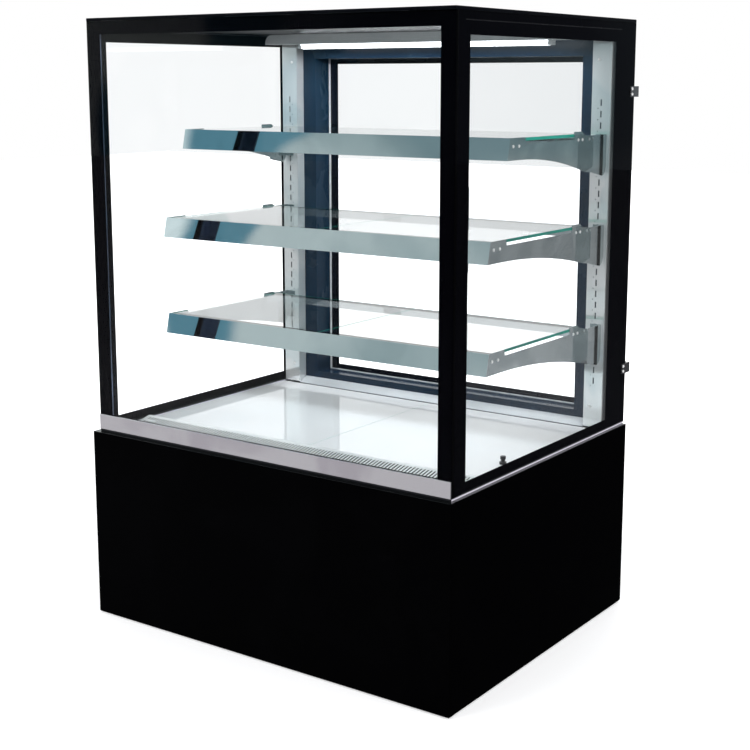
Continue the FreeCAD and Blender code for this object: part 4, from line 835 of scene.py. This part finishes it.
def louvre_hoods():
    """Rows of hoods, one over each slot of the rear grille."""
    columns, rows = 3, 12
    column_pitch, row_pitch = 180 * MM, 20 * MM
    first_x, first_z = -370 * MM + 75 * MM, 60 * MM + 8 * MM
    sunk = 0.3 * MM
    tree = Tree("Louvre rows", Columns=columns, Rows=rows)
    grid = tree.add("GeometryNodeMeshGrid", {
        "Size X": column_pitch * (columns - 1), "Size Y": row_pitch * (rows - 1),
        "Vertices X": tree.given["Columns"], "Vertices Y": tree.given["Rows"]})
    face = highest("rear_service_grille").y - sunk
    middle = (first_x + column_pitch, face, first_z + row_pitch * (rows - 1) / 2)
    stand = tree.add("GeometryNodeTransform", {
        "Geometry": grid.outputs["Mesh"], "Rotation": (math.pi / 2, 0, 0), "Translation": middle})
    hoods = tree.copies(stand.outputs["Geometry"],
                        tree.template("hood_template", hood_shape(154 * MM, 7 * MM, 5 * MM)))
    mesh_object("louvre_hoods", tree.mesh("louvre_hoods", hoods, "black_door_paint"), "black_door_paint")


# ---- door seals ----
def door_seal(side):
    """A mitred magnetic seal: a base strip, a folded bellows and a wider magnet head."""
    low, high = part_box(side + "_door_gasket")
    thick = high.y - low.y
    band = 16 * MM
    # Points of the section: distance in from the outer rim, and height off the door.
    section = [(0.02, 0.0), (0.98, 0.0), (0.98, 0.16), (0.80, 0.24), (0.88, 0.36), (0.78, 0.46), (0.92, 0.60),
               (1.0, 0.72), (1.0, 0.94), (0.94, 1.0), (0.06, 1.0), (0.0, 0.94), (0.0, 0.72), (0.10, 0.60),
               (0.22, 0.46), (0.12, 0.36), (0.20, 0.24), (0.02, 0.16)]
    shape = bmesh.new()
    rings = []
    for corner_x, corner_z in ((0, 0), (1, 0), (1, 1), (0, 1)):
        ring = []
        for inward, lift in section:
            x = low.x + inward * band if corner_x == 0 else high.x - inward * band
            z = low.z + inward * band if corner_z == 0 else high.z - inward * band
            ring.append(shape.verts.new((x, high.y - lift * thick, z)))
        rings.append(ring)
    for here, following in zip(rings, rings[1:] + rings[:1]):
        for step in range(len(section)):
            onward = (step + 1) % len(section)
            shape.faces.new((here[step], here[onward], following[onward], following[step]))
    piece = shape_object(side + "_bellows_seal", shape, "white_seal", side + "_door", 30)
    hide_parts(side + "_door_gasket")


# ---- compressor and feet ----
# How far the shell's axis stands in from the left end of its plate.
SHELL_INSET = 95 * MM


def compressor_shell():
    """A drawn steel can with its weld flange and terminal cover, on its mounting plate."""
    low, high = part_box("compressor")
    radius = 70 * MM
    plate_inset, plate_thick = 10 * MM, 3 * MM
    cover_half, cover_foot, cover_top = 30 * MM, 30 * MM, 85 * MM
    centre = Vector((low.x + SHELL_INSET, (low.y + high.y) / 2, 0))
    deck = low.z + 12 * MM
    shoulder = deck + 100 * MM
    profile = [(0.0, deck + 4 * MM), (radius * 0.62, deck + 4 * MM), (radius * 0.9, deck + 14 * MM),
               (radius, deck + 34 * MM), (radius, deck + 70 * MM), (radius + 4.5 * MM, deck + 71 * MM),
               (radius + 5 * MM, deck + 74 * MM), (radius + 3 * MM, deck + 77 * MM), (radius, deck + 78 * MM)]
    for angle in range(0, 90, 9):
        across, along = round_point(angle)
        profile.append((radius * across ** 0.6, shoulder + (high.z - shoulder) * along))
    profile.append((0.0, high.z))
    shape = bmesh.new()
    add_lathe(shape, profile, centre, steps=64)
    add_block(shape, (low.x, low.y + plate_inset, deck),
              (low.x + 2 * SHELL_INSET, high.y - plate_inset, deck + plate_thick), 1 * MM)
    add_block(shape, (centre.x + radius - 6 * MM, centre.y - cover_half, deck + cover_foot),
              (high.x, centre.y + cover_half, deck + cover_top), 5 * MM)
    shell = shape_object("compressor_shell", shape, "compressor_enamel")
    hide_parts("compressor")


def compressor_buffers():
    """Ribbed rubber buffers under the corners of the compressor's plate."""
    low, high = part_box("compressor")
    middle_x, middle_y = low.x + SHELL_INSET, (low.y + high.y) / 2
    profile = [(0.0, 0.0), (10 * MM, 0.0), (11 * MM, 1.5 * MM), (9 * MM, 4 * MM), (11 * MM, 6.5 * MM),
               (9 * MM, 9 * MM), (10.5 * MM, 11.8 * MM), (0.0, 11.8 * MM)]
    shape = bmesh.new()
    for x in (-80 * MM, 80 * MM):
        for y in (-45 * MM, 45 * MM):
            add_lathe(shape, profile, (middle_x + x, middle_y + y, low.z), steps=24)
    shape_object("compressor_buffers", shape, "black_moulding")


def threaded_feet():
    """Levelling feet: a plain pad, a lock nut and a threaded stem."""
    low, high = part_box("levelling_feet")
    pad, stem, root = 18 * MM, 5 * MM, 4.4 * MM
    thread, thread_start = 1.25 * MM, 8.6 * MM
    nut_radius, nut_height, chamfer = 9 * MM, 6 * MM, 0.8 * MM
    profile = [(0.0, 0.0), (pad - 1.5 * MM, 0.0), (pad, 1.2 * MM), (pad, 5 * MM), (pad - 2.5 * MM, 7.5 * MM),
               (stem + 3 * MM, 8 * MM), (stem, 8.4 * MM)]
    for turn in range(int((high.z - 15 * MM) / thread)):
        height = thread_start + thread * turn
        profile += [(stem, height), (root, height + thread / 2)]
    profile += [(root, high.z), (0.0, high.z)]
    nut = [(0.0, high.z - nut_height), (nut_radius - chamfer, high.z - nut_height),
           (nut_radius, high.z - nut_height + chamfer), (nut_radius, high.z - chamfer),
           (nut_radius - chamfer, high.z), (0.0, high.z)]
    shape = bmesh.new()
    for x in (low.x + pad, high.x - pad):
        for y in (low.y + pad, high.y - pad):
            add_lathe(shape, profile, (x, y, 0), steps=36)
            add_lathe(shape, nut, (x, y, 0), steps=6)
    piece = shape_object("threaded_feet", shape, "black_moulding", smooth_angle=30)
    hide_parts("levelling_feet")


# ---- controller display ----
SEGMENTS = {"a": ((0, 2), (1, 2)), "b": ((1, 1), (1, 2)), "c": ((1, 0), (1, 1)), "d": ((0, 0), (1, 0)),
            "e": ((0, 0), (0, 1)), "f": ((0, 1), (0, 2)), "g": ((0, 1), (1, 1))}
DIGITS = {"4": "bcfg", "0": "abcdef"}


def display_digits():
    """Lit seven-bar digits behind the controller's window. Seen from behind, +X runs to the left."""
    low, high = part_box("temperature_controller")
    width, height, bar, thick, softening = 6.5 * MM, 6.2 * MM, 0.75 * MM, 0.3 * MM, 0.12 * MM
    pitch, dot_step = 12 * MM, 9.6 * MM
    face = high.y - 0.75 * MM
    start_x, start_z = low.x + 42 * MM, low.z + 11.5 * MM
    shape = bmesh.new()
    for place, digit in enumerate("40"):
        left = start_x - place * pitch
        for letter in DIGITS[digit]:
            (x0, z0), (x1, z1) = SEGMENTS[letter]
            right_x, left_x = left - x1 * width, left - x0 * width
            low_z, high_z = start_z + z0 * height, start_z + z1 * height
            # A bar is widened across its length, and drawn in at both ends.
            along_x, along_z = (bar, -bar) if x0 == x1 else (-bar, bar)
            add_block(shape, (right_x - along_x, face - thick, low_z - along_z),
                      (left_x + along_x, face, high_z + along_z), softening)
    dot_x = start_x - dot_step
    add_block(shape, (dot_x - bar, face - thick, start_z - bar), (dot_x + bar, face, start_z + bar),
              softening)
    shape_object("display_digits", shape, "red_digits")


# ---- lamp ends and seams ----
def lamp_ends():
    """Grey end caps and spring clips that hold the tube under its housing."""
    low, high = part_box("light_tube")
    centre_y = (low.y + high.y) / 2
    half, overlap, reach = 9 * MM, 1 * MM, 9 * MM
    shape = bmesh.new()
    for near, far in ((low.x + overlap, low.x - reach), (high.x - overlap, high.x + reach)):
        add_block(shape, (min(near, far), centre_y - half, low.z + 0.5 * MM),
                  (max(near, far), centre_y + half, high.z), 1.5 * MM)
    for share in (0.2, 0.5, 0.8):
        x = low.x + (high.x - low.x) * share
        wrap = arc_points((x, centre_y, low.z + half), (0, 1, 0), (0, 0, 1), 9.5 * MM, 180, 360, 12)
        for before, after in zip(wrap, wrap[1:]):
            add_pipe(shape, [before, after], 0.5 * MM, 6)
    shape_object("lamp_ends", shape, "housing_aluminium")


def glass_seams():
    """Black silicone beads along the top and the foot of the side panes, on the inside."""
    x = highest("corner_posts").x - 0.2 * MM
    front = highest("front_glass_border").y + 26.4 * MM
    rear = lowest("rear_frame").y
    top = lowest("roof_panel").z - 0.8 * MM
    foot = lowest("right_glass").z + 0.8 * MM
    shape = bmesh.new()
    for side in (-1, 1):
        for z in (top, foot):
            add_pipe(shape, [(side * x, front, z), (side * x, rear, z)], 1.3 * MM, 8)
    shape_object("silicone_beads", shape, "black_moulding", smooth_angle=60)


# ---- studio ----
def white_floor():
    """A pale floor that reads as white and keeps the soft shadow."""
    reach = 14.0
    mesh = bpy.data.meshes.new("floor")
    mesh.from_pydata([(x * reach, y * reach, 0) for x, y in ((-1, -1), (1, -1), (1, 1), (-1, 1))], [],
                     [(0, 1, 2, 3)])
    floor = bpy.data.objects.new("floor", mesh)
    bpy.context.scene.collection.objects.link(floor)
    finish = Finish("floor_paper", (0.80, 0.80, 0.81), 0.0, 0.7, 0.2)
    tree = finish.tree
    path = finish.add("ShaderNodeLightPath").outputs
    place = finish.coordinates["Object"]
    # Polished parts see a greyer floor. On the right it is dark, except to rays that came through glass.
    finish.blend_colors(path["Glossy Depth"], (0.42, 0.42, 0.43))
    right_side = rise(tree, finish.add("ShaderNodeSeparateXYZ", {"Vector": place}).outputs["X"], 0.3, 0.5)
    unglazed = calculate(tree, "SUBTRACT", path["Glossy Depth"], path["Transmission Depth"], use_clamp=True)
    finish.blend_colors(calculate(tree, "MULTIPLY", right_side, unglazed), (0.03, 0.03, 0.035))
    finish.bump(finish.effect(GRAIN, Scale=60.0), 1e-4, 0.1)
    # A lift of light, for rays straight from the viewer only, that grows away from the case.
    away = finish.add("ShaderNodeVectorMath", {0: place}, operation="LENGTH").outputs["Value"]
    fade = finish.add("ShaderNodeMapRange", {
        "Value": away, "From Min": 0.5, "From Max": 2.4, "To Min": 0.40, "To Max": 1.1},
        interpolation_type="SMOOTHSTEP").outputs["Result"]
    bounced = calculate(tree, "MAXIMUM", path["Diffuse Depth"], path["Glossy Depth"])
    straight = calculate(tree, "LESS_THAN", bounced, 0.5)
    lift = finish.add("ShaderNodeEmission", {"Strength": calculate(tree, "MULTIPLY", straight, fade)})
    finish.show(finish.add("ShaderNodeAddShader", {0: finish.shader.outputs[0], 1: lift.outputs[0]}))
    floor.data.materials.append(finish.material)


def room_colors(tree, path):
    """The room that polished metal and glass see: cloudy greys, a curtain, a doorway and a bright corner."""
    place = add_node(tree, "ShaderNodeTexCoord").outputs["Generated"]
    across, depth, _ = add_node(tree, "ShaderNodeSeparateXYZ", {"Vector": place}).outputs
    clouds = add_node(tree, "ShaderNodeTexNoise", {
        "Vector": place, "Scale": 4.2, "Detail": 1.5, "Distortion": 1.4}).outputs["Fac"]
    tones = add_node(tree, "ShaderNodeValToRGB", {"Fac": clouds})
    first, last = tones.color_ramp.elements
    first.position, first.color = 0.40, (0.19, 0.265, 0.285, 1.0)
    last.position, last.color = 0.62, (0.50, 0.55, 0.55, 1.0)
    for position, color in ((0.47, (0.25, 0.32, 0.335, 1.0)), (0.50, (0.33, 0.40, 0.41, 1.0))):
        tones.color_ramp.elements.new(position).color = color
    wavy = calculate(tree, "MULTIPLY_ADD", clouds, 0.22, across)
    past_curtain = rise(tree, wavy, -0.508, -0.500)
    room = blend(tree, past_curtain, (0.10, 0.235, 0.30, 1.0), tones.outputs["Color"])
    toward_rear = rise(tree, depth, -0.55, 0.25, interpolation_type="SMOOTHSTEP")
    toward_left = rise(tree, across, 0.40, -0.10, interpolation_type="SMOOTHSTEP")
    room = blend(tree, calculate(tree, "MULTIPLY", toward_rear, toward_left), room, (1.0, 1.0, 1.0, 1.0))
    doorway = rise(tree, wavy, -0.560, -0.566)
    room = blend(tree, doorway, room, (0.80, 0.86, 0.86, 1.0))
    # The right side is dark to rays that have passed no glass, which keeps the black prints black.
    right_side = rise(tree, across, 0.15, 0.45)
    unglazed = calculate(tree, "LESS_THAN", path["Transmission Depth"], 0.5)
    return blend(tree, calculate(tree, "MULTIPLY", right_side, unglazed), room, (0.05, 0.055, 0.065, 1.0))


def studio_world():
    """White where it is looked at, a room where it is mirrored, and an even pale light on dull surfaces."""
    world = bpy.data.worlds.new("studio")
    bpy.context.scene.world = world
    world.use_nodes = True
    tree = world.node_tree
    tree.nodes.clear()
    path = add_node(tree, "ShaderNodeLightPath").outputs
    light = add_node(tree, "ShaderNodeBackground", {"Color": (1.0, 1.0, 1.0, 1.0)})
    for depth, color, strength in (("Glossy Depth", room_colors(tree, path), 1.0),
                                   ("Diffuse Depth", (0.98, 0.99, 1.0, 1.0), 0.72)):
        other = add_node(tree, "ShaderNodeBackground", {"Color": color, "Strength": strength})
        light = add_node(tree, "ShaderNodeMixShader", {
            0: calculate(tree, "GREATER_THAN", path[depth], 0.5), 1: light.outputs[0], 2: other.outputs[0]})
    add_node(tree, "ShaderNodeOutputWorld", {"Surface": light.outputs[0]})


def soft_lamp(name, place, target, width, height, power, color=(1, 1, 1)):
    """A lamp with an oblong face, which lights the case but isn't itself seen or mirrored."""
    data = bpy.data.lights.new(name, "AREA")
    data.shape = "RECTANGLE"
    data.size, data.size_y = width, height
    data.energy = power
    data.color = color
    lamp = bpy.data.objects.new(name, data)
    bpy.context.scene.collection.objects.link(lamp)
    lamp.location = place
    lamp.rotation_euler = (Vector(target) - Vector(place)).to_track_quat("-Z", "Y").to_euler()
    lamp.visible_glossy = False
    lamp.visible_transmission = False
    lamp.visible_camera = False


def case_lamp():
    """The light that the tube throws down into the case."""
    low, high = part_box("light_tube")
    x, y, _ = (low + high) / 2
    length, width, power, tint = high.x - low.x, 16 * MM, 3.5, (0.95, 0.975, 1.0)
    soft_lamp("tube_light", (x, y, low.z - 2 * MM), (x, y - 0.05, 0), length, width, power, tint)


def studio():
    white_floor()
    studio_world()
    case_lamp()
    centre = (0, 0, 0.6)
    soft_lamp("key_softbox", (-1.6, -3.2, 2.8), centre, 2.2, 1.8, 75.0)
    soft_lamp("side_softbox", (3.4, -0.6, 2.2), centre, 1.6, 1.6, 45.0)
    soft_lamp("rear_softbox", (0.4, 3.2, 2.4), centre, 2.4, 1.6, 45.0)


def camera():
    """The viewer stands to the right of the front, at the height of the case's upper part."""
    data = bpy.data.cameras.new("viewer")
    data.sensor_width = 36.0
    data.lens = 66.42
    data.shift_y = -0.06
    data.clip_start, data.clip_end = 0.05, 60.0
    eye = bpy.data.objects.new("viewer", data)
    bpy.context.scene.collection.objects.link(eye)
    eye.location = (1.6965, -2.370, 1.146)
    heading, down = math.radians(35.298), math.radians(10.286)
    eye.rotation_euler = (math.pi / 2 - down, 0, heading)
    bpy.context.scene.camera = eye


dress_cad_nodes()
screw_heads()
coil("evaporator_coil", 3, 3.6 * MM)
coil("condenser_coil", 7, 2.6 * MM)
fan_rotor("evaporator_fan", "evaporator_fan_spin", 7, 0.3, (40, 24))
fan_rotor("condenser_fan", "condenser_fan_spin", 5, 0.27, (38, 20))
wire_guard("condenser_guard", "condenser_fan_spin", 94 * MM, lowest("condenser_fan").y - 6 * MM, 7)
louvre_hoods()
door_seal("left")
door_seal("right")
compressor_shell()
compressor_buffers()
threaded_feet()
display_digits()
lamp_ends()
glass_seams()
studio()
camera()

bpy.context.scene.view_settings.view_transform = "Standard"
